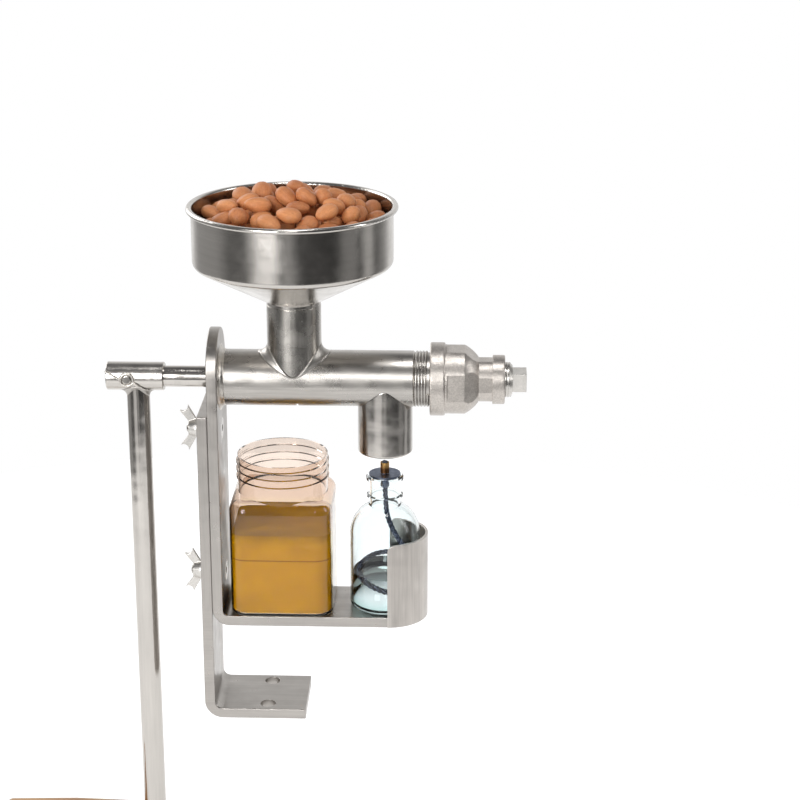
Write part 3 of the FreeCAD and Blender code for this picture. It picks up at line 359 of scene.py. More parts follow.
@dataclass(frozen=True)
class Casting(Finish):
    """Grainy metal: an investment casting or a weld."""

    colour: Colour = (0.50, 0.465, 0.43)
    rough: tuple[float, float] = (0.34, 0.48)
    grain: float = 1.1 * MM
    depth: float = 0.10 * MM
    tones: tuple[float, float] = (0.84, 1.14)
    # Lightening of the edges: partly wear, partly a painted highlight.
    edge_wear_and_highlight: float = 1.4
    edge: float = 0.6 * MM

    def build(self, graph: Graph, shader: object, place: Socket) -> None:
        """Grains lift the surface, and edges are lightened, partly for wear and partly as a painted
        highlight.
        """
        skin = Effects.place(graph, "cast_skin", {"Vector": place, "Size": self.grain})
        edge_wear_and_highlight = Effects.place(graph, "wear_and_highlight_edges", {"Radius": self.edge})
        marks = Effects.place(graph, "handling_marks", {
            "Vector": place, "Size": 9 * MM, "Low": self.rough[0], "High": self.rough[1]})
        shade = graph.mix(
            skin.outputs["Shade"], toned(self.colour, self.tones[0]), toned(self.colour, self.tones[1]))
        # Edges get a lighter copy of the colour: partly wear, partly a painted highlight.
        graph.fill(shader, {
            "Base Color": graph.mix(edge_wear_and_highlight.outputs["Edge"], shade, toned(self.colour, self.edge_wear_and_highlight)),
            "Roughness": marks.outputs[0],
            "Metallic": 1.0,
            "Normal": graph.bump(skin.outputs["Height"], 0.8, self.depth, edge_wear_and_highlight.outputs["Normal"])})


@dataclass(frozen=True)
class WickHolderMetal(Finish):
    """Brass tube, browned by heat, over a flange painted dark as shade."""

    brass: Colour = (0.56, 0.34, 0.12)
    brown: Colour = (0.16, 0.075, 0.03)
    # Painted shade: the flange is coloured dark for the shade on its rim.
    flange_shade: Colour = (0.10, 0.12, 0.17)
    bare: Colour = (0.7, 0.6, 0.45)
    flange_top: float = 0.1936
    tube_top: float = 0.2019

    def build(self, graph: Graph, shader: object, place: Socket) -> None:
        """The colour changes with the height."""
        height = graph.parts(place)[2]
        stain = graph.noise(place, 420.0, 3.0)
        ends = graph.span(height, self.tube_top - 5 * MM, self.tube_top - 1 * MM, 0.0, 1.0)
        clean = graph.sum("MULTIPLY", ends, graph.span(stain, 0.3, 0.6, 0.4, 1.0))
        tube = graph.mix(clean, self.brown, self.brass)
        # Below the flange's top the colour is the dark painted shade.
        metal = graph.mix(graph.sum("GREATER_THAN", height, self.flange_top), self.flange_shade, tube)
        edge_wear_and_highlight = Effects.place(graph, "wear_and_highlight_edges", {"Radius": 0.3 * MM})
        # Edges are lightened towards bare brass: partly rubbed wear, partly a painted highlight.
        rubbed_and_highlit = graph.sum("MULTIPLY", edge_wear_and_highlight.outputs["Edge"], 0.5)
        graph.fill(shader, {
            "Base Color": graph.mix(rubbed_and_highlit, metal, self.bare),
            "Roughness": graph.span(stain, 0.3, 0.7, 0.28, 0.5),
            "Metallic": 1.0,
            "Normal": edge_wear_and_highlight.outputs["Normal"]})


@dataclass(frozen=True)
class TurnedWood(Finish):
    """Oiled beech with the grain along the grip."""

    pale: Colour = (0.50, 0.27, 0.11)
    deep: Colour = (0.30, 0.13, 0.045)
    centre: Colour = (-0.16, 0.012, -0.104)

    def build(self, graph: Graph, shader: object, place: Socket) -> None:
        """Growth rings, flecks and pores run along the grip."""
        local = graph.vector("SUBTRACT", place, self.centre)
        stretched = graph.vector("MULTIPLY", local, (0.12, 1.0, 1.0))
        bent = graph.vector("ADD", stretched, graph.vector("MULTIPLY", local, (0.0, 0.25, 0.5)))
        rings = graph.add("ShaderNodeTexWave", {
            "Vector": bent, "Scale": 95.0, "Distortion": 2.6, "Detail": 3.0, "Detail Scale": 1.2},
            wave_type="BANDS", bands_direction="Z").outputs[1]
        pores = graph.noise(graph.vector("MULTIPLY", local, (90.0, 2200.0, 2200.0)), 1.0, 2.0)
        flecks = graph.span(pores, 0.35, 0.65, 0.0, 1.0)
        streak = graph.sum("MULTIPLY_ADD", flecks, 0.3, graph.sum("MULTIPLY", rings, 0.7))
        graph.fill(shader, {
            "Base Color": graph.mix(streak, self.deep, self.pale),
            "Roughness": graph.span(pores, 0.3, 0.7, 0.36, 0.55),
            "Normal": graph.bump(pores, 0.5, 0.08 * MM),
            "Coat Weight": 0.15,
            "Coat Roughness": 0.3})


@dataclass(frozen=True)
class ClearShell(Finish):
    """Clear glass or plastic whose tint deepens towards the base."""

    clear: Colour = (0.93, 0.97, 0.975)
    tint: Colour = (0.72, 0.88, 0.87)
    low: float = 0.090
    high: float = 0.100
    ior: float = 1.5
    gloss: float = 0.5
    rough: tuple[float, float] = (0.0, 0.03)
    ripple: float = 0.15 * MM

    def build(self, graph: Graph, shader: object, place: Socket) -> None:
        """Clear above, tinted at the thick base, with slow ripples in the wall."""
        share = graph.span(graph.parts(place)[2], self.low, self.high, 0.0, 1.0)
        graph.fill(shader, {
            "Base Color": graph.mix(share, self.tint, self.clear),
            "Roughness": graph.span(graph.noise(place, 160.0), 0.4, 0.7, *self.rough),
            "Normal": graph.bump(graph.noise(place, 38.0, 1.0), 0.6, self.ripple),
            "Transmission Weight": 1.0,
            "IOR": self.ior,
            "Specular IOR Level": self.gloss})


@dataclass(frozen=True)
class PressedOil(Finish):
    """Fresh seed oil: deep amber, slightly cloudy, with a faint line where it has settled."""

    colour: Colour = (0.86, 0.52, 0.002)
    deep: Colour = (0.68, 0.395, 0.002)
    line: Colour = (0.36, 0.17, 0.002)
    settled: float = 0.1325
    clearness: float = 0.30
    gloss: float = 0.0
    ior: float = 1.47

    def build(self, graph: Graph, shader: object, place: Socket) -> None:
        """Clouds drift through the amber; the settled line is a thin darker band."""
        height = graph.parts(place)[2]
        drift = graph.span(graph.noise(place, 34.0, 3.0), 0.35, 0.65, 0.0, 1.0)
        body = graph.mix(drift, self.deep, self.colour)
        off = graph.sum("ABSOLUTE", graph.sum("SUBTRACT", height, self.settled))
        line = graph.span(off, 0.25 * MM, 0.7 * MM, 1.0, 0.0)
        graph.fill(shader, {
            "Base Color": graph.mix(line, body, self.line),
            "Roughness": graph.span(drift, 0.0, 1.0, 0.03, 0.10),
            "Transmission Weight": self.clearness,
            "Specular IOR Level": self.gloss,
            "IOR": self.ior})


@dataclass(frozen=True)
class LampFuel(Finish):
    """Clear spirit with a thin yellow-green film where it meets the glass."""

    clear: Colour = (0.93, 0.98, 0.98)
    film: Colour = (0.34, 0.44, 0.004)
    level: float = 0.1145
    ior: float = 1.25

    def build(self, graph: Graph, shader: object, place: Socket) -> None:
        """The film is a band at the top of the side."""
        height = graph.parts(place)[2]
        slope = graph.parts(graph.add("ShaderNodeNewGeometry").outputs["Normal"])[2]
        upper = graph.span(height, self.level - 2.6 * MM, self.level - 2.1 * MM, 0.0, 1.0)
        upright = graph.span(graph.sum("ABSOLUTE", slope), 0.5, 0.8, 1.0, 0.0)
        band = graph.sum("MULTIPLY", upper, upright)
        wobble = graph.span(graph.noise(place, 240.0), 0.35, 0.6, 0.75, 1.0)
        graph.fill(shader, {
            "Base Color": graph.mix(graph.sum("MULTIPLY", band, wobble), self.clear, self.film),
            "Roughness": graph.span(wobble, 0.75, 1.0, 0.0, 0.03),
            "Transmission Weight": 1.0,
            "IOR": self.ior})


@dataclass(frozen=True)
class Cotton(Finish):
    """Dyed cotton strands, darker where they are soaked."""

    dark: Colour = (0.018, 0.022, 0.045)
    pale: Colour = (0.11, 0.13, 0.19)

    def build(self, graph: Graph, shader: object, place: Socket) -> None:
        """Fibres run along each strand."""
        way = graph.add("ShaderNodeUVMap", uv_map="along").outputs[0]
        fibre = graph.noise(graph.vector("MULTIPLY", way, (180.0, 9.0, 1.0)), 1.0, 3.0, 0.7)
        patch = graph.noise(place, 150.0, 2.0)
        share = graph.sum("MULTIPLY_ADD", graph.span(fibre, 0.3, 0.7, 0.0, 1.0), 0.5,
                          graph.sum("MULTIPLY", graph.span(patch, 0.3, 0.7, 0.0, 1.0), 0.5))
        graph.fill(shader, {
            "Base Color": graph.mix(share, self.dark, self.pale),
            "Roughness": graph.span(fibre, 0.3, 0.7, 0.7, 0.95),
            "Normal": graph.bump(fibre, 0.9, 0.15 * MM),
            "Sheen Weight": 0.3,
            "Sheen Roughness": 0.5})


@dataclass(frozen=True)
class SeedSkin(Finish):
    """Papery orange-brown skin of a kernel, with fine veins along it."""

    light: Colour = (0.66, 0.285, 0.115)
    dark: Colour = (0.36, 0.115, 0.04)

    def build(self, graph: Graph, shader: object, place: Socket) -> None:
        """Veins follow each kernel's own length; each kernel has its own tone."""
        local = graph.add("ShaderNodeAttribute", attribute_name="kernel_place").outputs["Vector"]
        tone = graph.add("ShaderNodeAttribute", attribute_name="kernel_tone").outputs["Fac"]
        veins = graph.noise(graph.vector("MULTIPLY", local, (60.0, 520.0, 520.0)), 1.0, 4.0, 0.65)
        specks = graph.noise(place, 1300.0, 2.0, 0.6)
        skin = graph.sum("MULTIPLY_ADD", graph.span(veins, 0.32, 0.68, 0.0, 1.0), 0.45,
                         graph.sum("MULTIPLY_ADD", graph.span(specks, 0.35, 0.65, 0.0, 1.0), 0.2,
                                   graph.sum("MULTIPLY", tone, 0.45)))
        graph.fill(shader, {
            "Base Color": graph.mix(skin, self.dark, self.light),
            "Roughness": graph.span(veins, 0.3, 0.7, 0.42, 0.62),
            "Normal": graph.bump(graph.sum("MULTIPLY_ADD", specks, 0.5, veins), 0.6, 0.25 * MM),
            "Specular IOR Level": 0.35,
            "Subsurface Weight": 0.06,
            "Subsurface Radius": (2.0 * MM, 0.8 * MM, 0.4 * MM)})


@dataclass(frozen=True)
class Fibre(Finish):
    """Grey-brown pressed fibre of a sealing ring."""

    colour: Colour = (0.16, 0.12, 0.09)

    def build(self, graph: Graph, shader: object, place: Socket) -> None:
        """Short fibres in two tones."""
        fibre = graph.noise(graph.vector("MULTIPLY", place, (900.0, 300.0, 300.0)), 1.0, 3.0)
        share = graph.span(fibre, 0.3, 0.7, 0.0, 1.0)
        graph.fill(shader, {
            "Base Color": graph.mix(share, self.colour, toned(self.colour, 1.8)),
            "Roughness": graph.span(fibre, 0.3, 0.7, 0.6, 0.85)})


@dataclass(frozen=True)
class StudioFloor(Finish):
    """White paper floor: it keeps the press's shadow and shows white all the way back."""

    albedo: float = 0.45
    seen_albedo: float = 0.42
    glow: float = 0.86

    def build(self, graph: Graph, shader: object, place: Socket) -> None:
        """What sees the floor straight on or in a gloss sees it white; the rest sees plain paper."""
        rays = graph.add("ShaderNodeLightPath").outputs
        seen = graph.sum("MAXIMUM", rays["Is Camera Ray"],
                         graph.sum("MAXIMUM", rays["Is Glossy Ray"], rays["Is Transmission Ray"]))
        graph.fill(shader, {
            "Base Color": graph.mix(seen, (self.albedo,) * 3, (self.seen_albedo,) * 3),
            "Roughness": 0.9,
            "Specular IOR Level": 0.0,
            "Emission Color": (1.0, 1.0, 1.0, 1.0),
            "Emission Strength": graph.sum("MULTIPLY", seen, self.glow)})


BAR = Steel("bar_steel", colour=(0.39, 0.368, 0.345), lie=Lie.ALONG_BAR, rough=(0.26, 0.40), contrast=0.12)
BARREL_TUBE = Steel("barrel_steel", colour=(0.42, 0.40, 0.375), lie=Lie.ALONG_X, centre=AXIS,
                    rough=(0.24, 0.36), contrast=0.2)
UPRIGHT_TUBE = Steel("upright_tube_steel", colour=(0.45, 0.43, 0.40), lie=Lie.ALONG_Z, rough=(0.20, 0.32),
                     contrast=0.18)
CUP_TUBE = Steel("cup_steel", lie=Lie.ROUND_Z, centre=(0.0909, 0.0, 0.0), rough=(0.14, 0.24), contrast=0.10)
SHAFT = Steel("shaft_steel", lie=Lie.ROUND_X, centre=AXIS, rough=(0.12, 0.2), contrast=0.08, across=1600.0)
SLEEVE = Steel("sleeve_steel", lie=Lie.ALONG_X, centre=AXIS, rough=(0.16, 0.28))
SPUN_BOWL = Steel("hopper_steel", lie=Lie.ROUND_Z, centre=FEED_AXIS, rough=(0.15, 0.26), contrast=0.12,
                  across=700.0, wave=0.2 * MM)
GUARD = Steel("guard_steel", colour=(0.48, 0.45, 0.42), lie=Lie.ALONG_Z, rough=(0.26, 0.38), contrast=0.2)
ARM_TUBE = Steel("arm_steel", lie=Lie.ALONG_Z, rough=(0.10, 0.2), contrast=0.08, across=500.0)
FASTENER = Casting("fastener_steel", colour=(0.60, 0.58, 0.55), rough=(0.28, 0.4), grain=0.8 * MM,
                   depth=0.03 * MM)
PLATED = Steel("plated_steel", colour=(0.55, 0.53, 0.50), lie=Lie.ROUND_X, centre=AXIS, rough=(0.2, 0.3))
CAST = Casting("cast_steel")
WELD = Casting("weld_steel", colour=(0.56, 0.53, 0.49), rough=(0.25, 0.42), grain=2.6 * MM, depth=0.35 * MM)
DRESSED_WELD = Steel("dressed_weld_steel", colour=(0.40, 0.38, 0.355), lie=Lie.ROUND_Z,
                     centre=FEED_AXIS, rough=(0.34, 0.46), contrast=0.2, across=500.0)
BRONZE = Steel("bronze", colour=(0.50, 0.27, 0.10), lie=Lie.ROUND_X, centre=AXIS, rough=(0.22, 0.36))
BEARING = Steel("bearing_steel", colour=(0.62, 0.62, 0.62), lie=Lie.ROUND_X, centre=AXIS,
                rough=(0.06, 0.12), contrast=0.03)
LAMP_GLASS = ClearShell("lamp_glass", ior=1.3)
JAR_PLASTIC = ClearShell("jar_plastic", clear=(0.84, 0.72, 0.635), tint=(0.92, 0.82, 0.62), low=0.150,
                         high=0.158, ior=1.35, gloss=0.1, ripple=0.25 * MM, rough=(0.0, 0.05))


# Helpers for pieces

def new_piece(name: str, mesh: Mesh, body: str, finish: Finish | None = None) -> bpy.types.Object:
    """Shows a mesh as a piece of the press.

    Args:
        name: the piece's name.
        mesh: its mesh, with the place in it.
        body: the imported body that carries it.
        finish: its finish, unless the mesh brings its own.

    Returns:
        The piece's object.
    """
    piece = bpy.data.objects.new(name, mesh)
    bpy.context.scene.collection.objects.link(piece)
    if finish:
        mesh.materials.clear()
        mesh.materials.append(finish.material())
    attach(piece, body)
    LOG.info("piece %s: %d faces on %s", name, len(mesh.polygons), body)
    return piece


def dress(finish: Finish, *nodes: str) -> None:
    """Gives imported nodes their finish."""
    for node in nodes:
        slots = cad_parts[node].material_slots
        for place in slots:
            place.material = finish.material()
        LOG.info("node %s: %s", node, finish.name)


def mesh_from(form: bmesh.types.BMesh, name: str, smooth: bool = True) -> Mesh:
    """Closes a bmesh into a mesh whose faces point outwards."""
    bmesh.ops.remove_doubles(form, verts=form.verts, dist=1e-7)
    bmesh.ops.recalc_face_normals(form, faces=form.faces)
    mesh = bpy.data.meshes.new(name)
    form.to_mesh(mesh)
    form.free()
    for face in mesh.polygons:
        face.use_smooth = smooth
    return mesh


def lofted(name: str, rings: list[list[Vector]]) -> Mesh:
    """A closed skin over rings of equally many points; a ring of one point closes an end."""
    form = bmesh.new()
    rows = [[form.verts.new(point) for point in ring] for ring in rings]
    for low, high in zip(rows, rows[1:]):
        count = max(len(low), len(high))
        for number in range(count):
            following = (number + 1) % count
            corners = [low[number % len(low)], low[following % len(low)],
                       high[following % len(high)], high[number % len(high)]]
            form.faces.new(list(dict.fromkeys(corners)))
    return mesh_from(form, name)


def baked(name: str, carrier: bpy.types.Object, tree: Tree, values: dict[str, object]) -> Mesh:
    """Runs a geometry tree once and keeps its result as a plain mesh.

    Args:
        name: name of the mesh.
        carrier: object that the tree works on; it is removed.
        tree: the geometry tree.
        values: the tree's named inputs.

    Returns:
        The mesh.
    """
    bpy.context.scene.collection.objects.link(carrier)
    step = carrier.modifiers.new("build", "NODES")
    step.node_group = tree
    for item in tree.interface.items_tree:
        if item.item_type == "SOCKET" and item.in_out == "INPUT" and item.name in values:
            step[item.identifier] = values[item.name]
    graph = bpy.context.evaluated_depsgraph_get()
    mesh = bpy.data.meshes.new_from_object(
        carrier.evaluated_get(graph), preserve_all_data_layers=True, depsgraph=graph)
    mesh.name = name
    bpy.data.objects.remove(carrier)
    return mesh


def carrier_of(points: list[Vector]) -> bpy.types.Object:
    """A curve object of straight runs through points, for a geometry tree to follow."""
    curve = bpy.data.curves.new("carrier", "CURVE")
    curve.dimensions = "3D"
    spline = curve.splines.new("POLY")
    spline.points.add(len(points) - 1)
    for place, point in zip(spline.points, points):
        place.co = (*point, 1.0)
    return bpy.data.objects.new("carrier", curve)


# Geometry trees

def ridge_tree() -> Tree:
    """Helical ridges of a screw thread round an axis along X."""
    graph, inputs, out = new_tree(
        "thread_ridges", "GeometryNodeTree",
        {"Geometry": "geometry", "Turns": "number", "Pitch": "number", "Radius": "number",
         "Ridge": "number", "Start": "number", "Height": "number", "Material": "material"},
        {"Geometry": "geometry"})
    reach = graph.sum("MULTIPLY", inputs["Turns"], inputs["Pitch"])
    way = graph.add("GeometryNodeCurveSpiral", {
        "Resolution": 72, "Rotations": inputs["Turns"], "Start Radius": inputs["Radius"],
        "End Radius": inputs["Radius"], "Height": reach})
    profile = graph.add("GeometryNodeCurvePrimitiveCircle", {"Resolution": 8, "Radius": inputs["Ridge"]})
    skin = graph.add("GeometryNodeCurveToMesh", {
        "Curve": way.outputs[0], "Profile Curve": profile.outputs[0], "Fill Caps": True})
    move = graph.add("ShaderNodeCombineXYZ", {0: inputs["Start"], 1: 0.0, 2: inputs["Height"]})
    placed = graph.add("GeometryNodeTransform", {
        "Geometry": skin.outputs[0], "Translation": move.outputs[0], "Rotation": TO_X})
    close_tree(graph, placed.outputs[0], inputs["Material"], out)
    return graph.tree


def bead_tree() -> Tree:
    """Overlapping scales of a weld bead along a curve."""
    graph, inputs, out = new_tree(
        "weld_scales", "GeometryNodeTree",
        {"Geometry": "geometry", "Step": "number", "Width": "number", "Lift": "number",
         "Uneven": "number", "Seed": "whole", "Material": "material"},
        {"Geometry": "geometry"})
    points = graph.add(
        "GeometryNodeResampleCurve", {"Curve": inputs["Geometry"], "Length": inputs["Step"]}, mode="LENGTH")
    scale_form = graph.add("GeometryNodeMeshIcoSphere", {"Radius": 0.5, "Subdivisions": 2})
    way = graph.add("GeometryNodeInputTangent").outputs[0]
    turn = graph.add("FunctionNodeAlignRotationToVector", {"Vector": way}, axis="X")
    least = graph.sum("SUBTRACT", 1.0, inputs["Uneven"])
    spread = graph.add(
        "FunctionNodeRandomValue", {2: least, 3: 1.0, "Seed": inputs["Seed"]}, data_type="FLOAT")
    size = graph.add("ShaderNodeCombineXYZ", {
        0: graph.sum("MULTIPLY", inputs["Step"], 2.1), 1: inputs["Width"], 2: inputs["Lift"]})
    scaled = graph.vector("MULTIPLY", size.outputs[0], spread.outputs[1])
    scales = graph.add("GeometryNodeInstanceOnPoints", {
        "Points": points.outputs[0], "Instance": scale_form.outputs[0],
        "Rotation": turn.outputs[0], "Scale": scaled})
    close_tree(graph, scales.outputs[0], inputs["Material"], out)
    return graph.tree


def heap_tree() -> Tree:
    """Kernels on points that carry their turn, size and tone."""
    graph, inputs, out = new_tree(
        "kernel_heap", "GeometryNodeTree",
        {"Geometry": "geometry", "Length": "number", "Width": "number", "Thickness": "number",
         "Point": "number", "Wrinkle": "number", "Material": "material"},
        {"Geometry": "geometry"})
    ball = graph.add("GeometryNodeMeshUVSphere", {"Segments": 14, "Rings": 9, "Radius": 1.0})
    laid = graph.add("GeometryNodeTransform", {"Geometry": ball.outputs[0], "Rotation": TO_X})
    where = graph.add("GeometryNodeInputPosition").outputs[0]
    x, y, z = graph.parts(where)
    taper = graph.sum("SUBTRACT", 1.0, graph.sum("MULTIPLY", x, inputs["Point"]))
    uneven = graph.noise(graph.vector("MULTIPLY", where, (1.2, 2.6, 2.6)), 1.0, 1.0)
    dent = graph.sum("MULTIPLY", uneven, inputs["Wrinkle"])
    middle = graph.sum("MULTIPLY", inputs["Wrinkle"], 0.5)
    swell = graph.sum("ADD", taper, graph.sum("SUBTRACT", dent, middle))
    half = [graph.sum("MULTIPLY", inputs[name], 0.5) for name in ("Length", "Width", "Thickness")]
    shape = graph.add("ShaderNodeCombineXYZ", {
        0: graph.sum("MULTIPLY", x, half[0]),
        1: graph.sum("MULTIPLY", graph.sum("MULTIPLY", y, swell), half[1]),
        2: graph.sum("MULTIPLY", graph.sum("MULTIPLY", z, swell), half[2])})
    formed = graph.add("GeometryNodeSetPosition", {"Geometry": laid.outputs[0], "Position": shape.outputs[0]})
    marked = graph.add("GeometryNodeStoreNamedAttribute", {
        "Geometry": formed.outputs[0], "Name": "kernel_place",
        "Value": graph.add("GeometryNodeInputPosition").outputs[0]}, data_type="FLOAT_VECTOR", domain="POINT")
    turn, girth = (
        graph.add("GeometryNodeInputNamedAttribute", {"Name": name}, data_type="FLOAT_VECTOR").outputs[0]
        for name in ("turn", "girth"))
    rotation = graph.add("FunctionNodeEulerToRotation", {0: turn}).outputs[0]
    heap = graph.add("GeometryNodeInstanceOnPoints", {
        "Points": inputs["Geometry"], "Instance": marked.outputs[0], "Rotation": rotation, "Scale": girth})
    close_tree(graph, heap.outputs[0], inputs["Material"], out)
    return graph.tree


def close_tree(graph: Graph, geometry: Socket, material: Socket, out: Node) -> None:
    """Ends a geometry tree: instances made real, smooth and with their material."""
    real = graph.add("GeometryNodeRealizeInstances", {"Geometry": geometry})
    smooth = graph.add("GeometryNodeSetShadeSmooth", {"Geometry": real.outputs[0]})
    dressed = graph.add("GeometryNodeSetMaterial", {"Geometry": smooth.outputs[0], "Material": material})
    graph.feed(out.inputs[0], dressed.outputs[0])


class Trees:
    """The geometry trees, each built when it is first wanted."""

    makers = {"thread_ridges": ridge_tree, "weld_scales": bead_tree, "kernel_heap": heap_tree}

    @classmethod
    def get(cls, name: str) -> Tree:
        """One geometry tree by its name."""
        return bpy.data.node_groups.get(name) or cls.makers[name]()


def ridges(
        name: str, span: tuple[float, float], pitch: float, crest: float, ridge: float,
        finish: Finish) -> Mesh:
    """The ridges of a screw thread round the press axis.

    Args:
        name: name of the mesh.
        span: where the thread begins and ends along X.
        pitch: distance between two ridges.
        crest: radius over the ridges.
        ridge: radius of a rounded ridge.
        finish: the thread's finish.

    Returns:
        The mesh.
    """
    start, end = span
    values = {
        "Turns": (end - start - 2 * ridge) / pitch, "Pitch": pitch, "Radius": crest - ridge,
        "Ridge": ridge, "Start": start + ridge, "Height": AXIS_HEIGHT, "Material": finish.material()}
    carrier = carrier_of([Vector((0, 0, 0)), Vector((0, 0, 1))])
    return baked(name, carrier, Trees.get("thread_ridges"), values)


# Sub-assemblies

@dataclass
class Bracket:
    """The two bolted bars, the bottle guard and the clamp screws."""

    def dress(self) -> None:
        """Gives each node its finish."""
        dress(BAR, "stand", "head_plate")
        dress(GUARD, "bottle_guard")
        dress(FASTENER, "wing_nut_upper", "wing_nut_lower")
        dress(PLATED, "clamp_screw_upper", "clamp_screw_lower", "washer_upper", "washer_lower")


@dataclass
class Barrel:
    """Pipe with its feed tube, heating cup, welds and threaded end."""

    thread_from: float = 0.1125
    thread_to: float = 0.1242
    thread_end: float = 0.1400
    pitch: float = 2.309 * MM
    crest: float = 21.0 * MM
    hidden_crest: float = 20.03 * MM
    ridge: float = 1.0 * MM
    hidden_ridge: float = 0.8 * MM
    thread_gap: float = 0.6 * MM

    def dress(self) -> None:
        """Gives each node its finish."""
        dress(BARREL_TUBE, "barrel")
        dress(UPRIGHT_TUBE, "feed_tube")
        dress(CUP_TUBE, "heating_cup")
        dress(DRESSED_WELD, "feed_weld")
        dress(WELD, "barrel_weld")

    def build(self) -> None:
        """Makes the thread, whose hidden stretch is low enough for the coupling."""
        self.dress()
        hidden_from = self.thread_to + self.thread_gap
        for name, start, end, crest, ridge in (
                ("barrel_thread", self.thread_from, self.thread_to, self.crest, self.ridge),
                ("barrel_thread_hidden", hidden_from, self.thread_end, self.hidden_crest, self.hidden_ridge)):
            mesh = ridges(name, (start, end), self.pitch, crest, ridge, BARREL_TUBE)
            new_piece(name, mesh, "frame")


@dataclass
class Crank:
    """Sleeve, arm, cross pin and the turned grip."""

    sleeve_radius: float = 10.65 * MM
    pin_x: float = -0.1015
    proud: float = 0.2 * MM

    def on_sleeve(self, x: float, drop: float) -> Vector:
        """A point just proud of the sleeve's near side, drop below the axis."""
        reach = self.sleeve_radius + self.proud
        return Vector((x, -math.sqrt(max(reach ** 2 - drop ** 2, 0.0)), AXIS_HEIGHT - drop))

    def bead(
            self, name: str, way: tuple[tuple[float, float], ...], width: float, lift: float,
            seed: int) -> None:
        """Lays a weld bead on the sleeve.

        Args:
            name: the piece's name.
            way: its points in mm, along the sleeve from the pin and below the axis.
            width: its width across the way.
            lift: its height over the metal.
            seed: seed of its unevenness.
        """
        points = [self.on_sleeve(self.pin_x + x * MM, drop * MM) for x, drop in way]
        values = {"Step": width * 0.42, "Width": width, "Lift": lift, "Uneven": 0.28, "Seed": seed,
                  "Material": WELD.material()}
        mesh = baked(name, carrier_of(points), Trees.get("weld_scales"), values)
        new_piece(name, mesh, "screw")

    def build(self) -> None:
        """Dresses the nodes and lays the hand-made beads round the pin."""
        dress(SHAFT, "press_screw")
        dress(SLEEVE, "crank_sleeve")
        dress(ARM_TUBE, "crank_arm")
        dress(DRESSED_WELD, "arm_weld")
        dress(WELD, "pin_weld")
        dress(SHAFT, "cross_pin")
        dress(TurnedWood("grip_wood"), "grip")
        dress(PLATED, "grip_spindle", "spindle_nut")
        tail = ((4.6, 2.4), (6.4, 3.0), (8.4, 4.6), (10.2, 6.2), (12.4, 7.6), (15.0, 8.8))
        self.bead("pin_bead_tail", tail, 2.6 * MM, 2.0 * MM, 3)
        lead = ((-15.4, -5.8), (-12.6, -4.4), (-9.8, -2.8), (-7.2, -1.6), (-5.4, -0.8))
        self.bead("sleeve_end_bead", lead, 3.0 * MM, 1.8 * MM, 5)


@dataclass
class Outlet:
    """Cast coupling, its seal, the choke ring and the square-headed plug."""

    pitch: float = 1.814 * MM
    start: float = 0.1600
    end: float = 0.1852
    crest: float = 13.26 * MM
    ridge: float = 0.8 * MM

    def build(self) -> None:
        """Dresses the nodes and cuts the plug's thread."""
        dress(CAST, "coupling")
        dress(Fibre("seal_fibre"), "barrel_seal")
        dress(PLATED, "choke_ring", "adjusting_plug")
        mesh = ridges("plug_thread", (self.start, self.end), self.pitch, self.crest, self.ridge, PLATED)
        new_piece("plug_thread", mesh, "plug")


@dataclass
class Bearing:
    """Thrust bearing and bushing behind the press screw."""

    def build(self) -> None:
        """Gives each node its finish."""
        dress(BRONZE, "shaft_bushing", "ball_cage")
        dress(BEARING, "thrust_race_rear", "thrust_race_front", "thrust_balls")


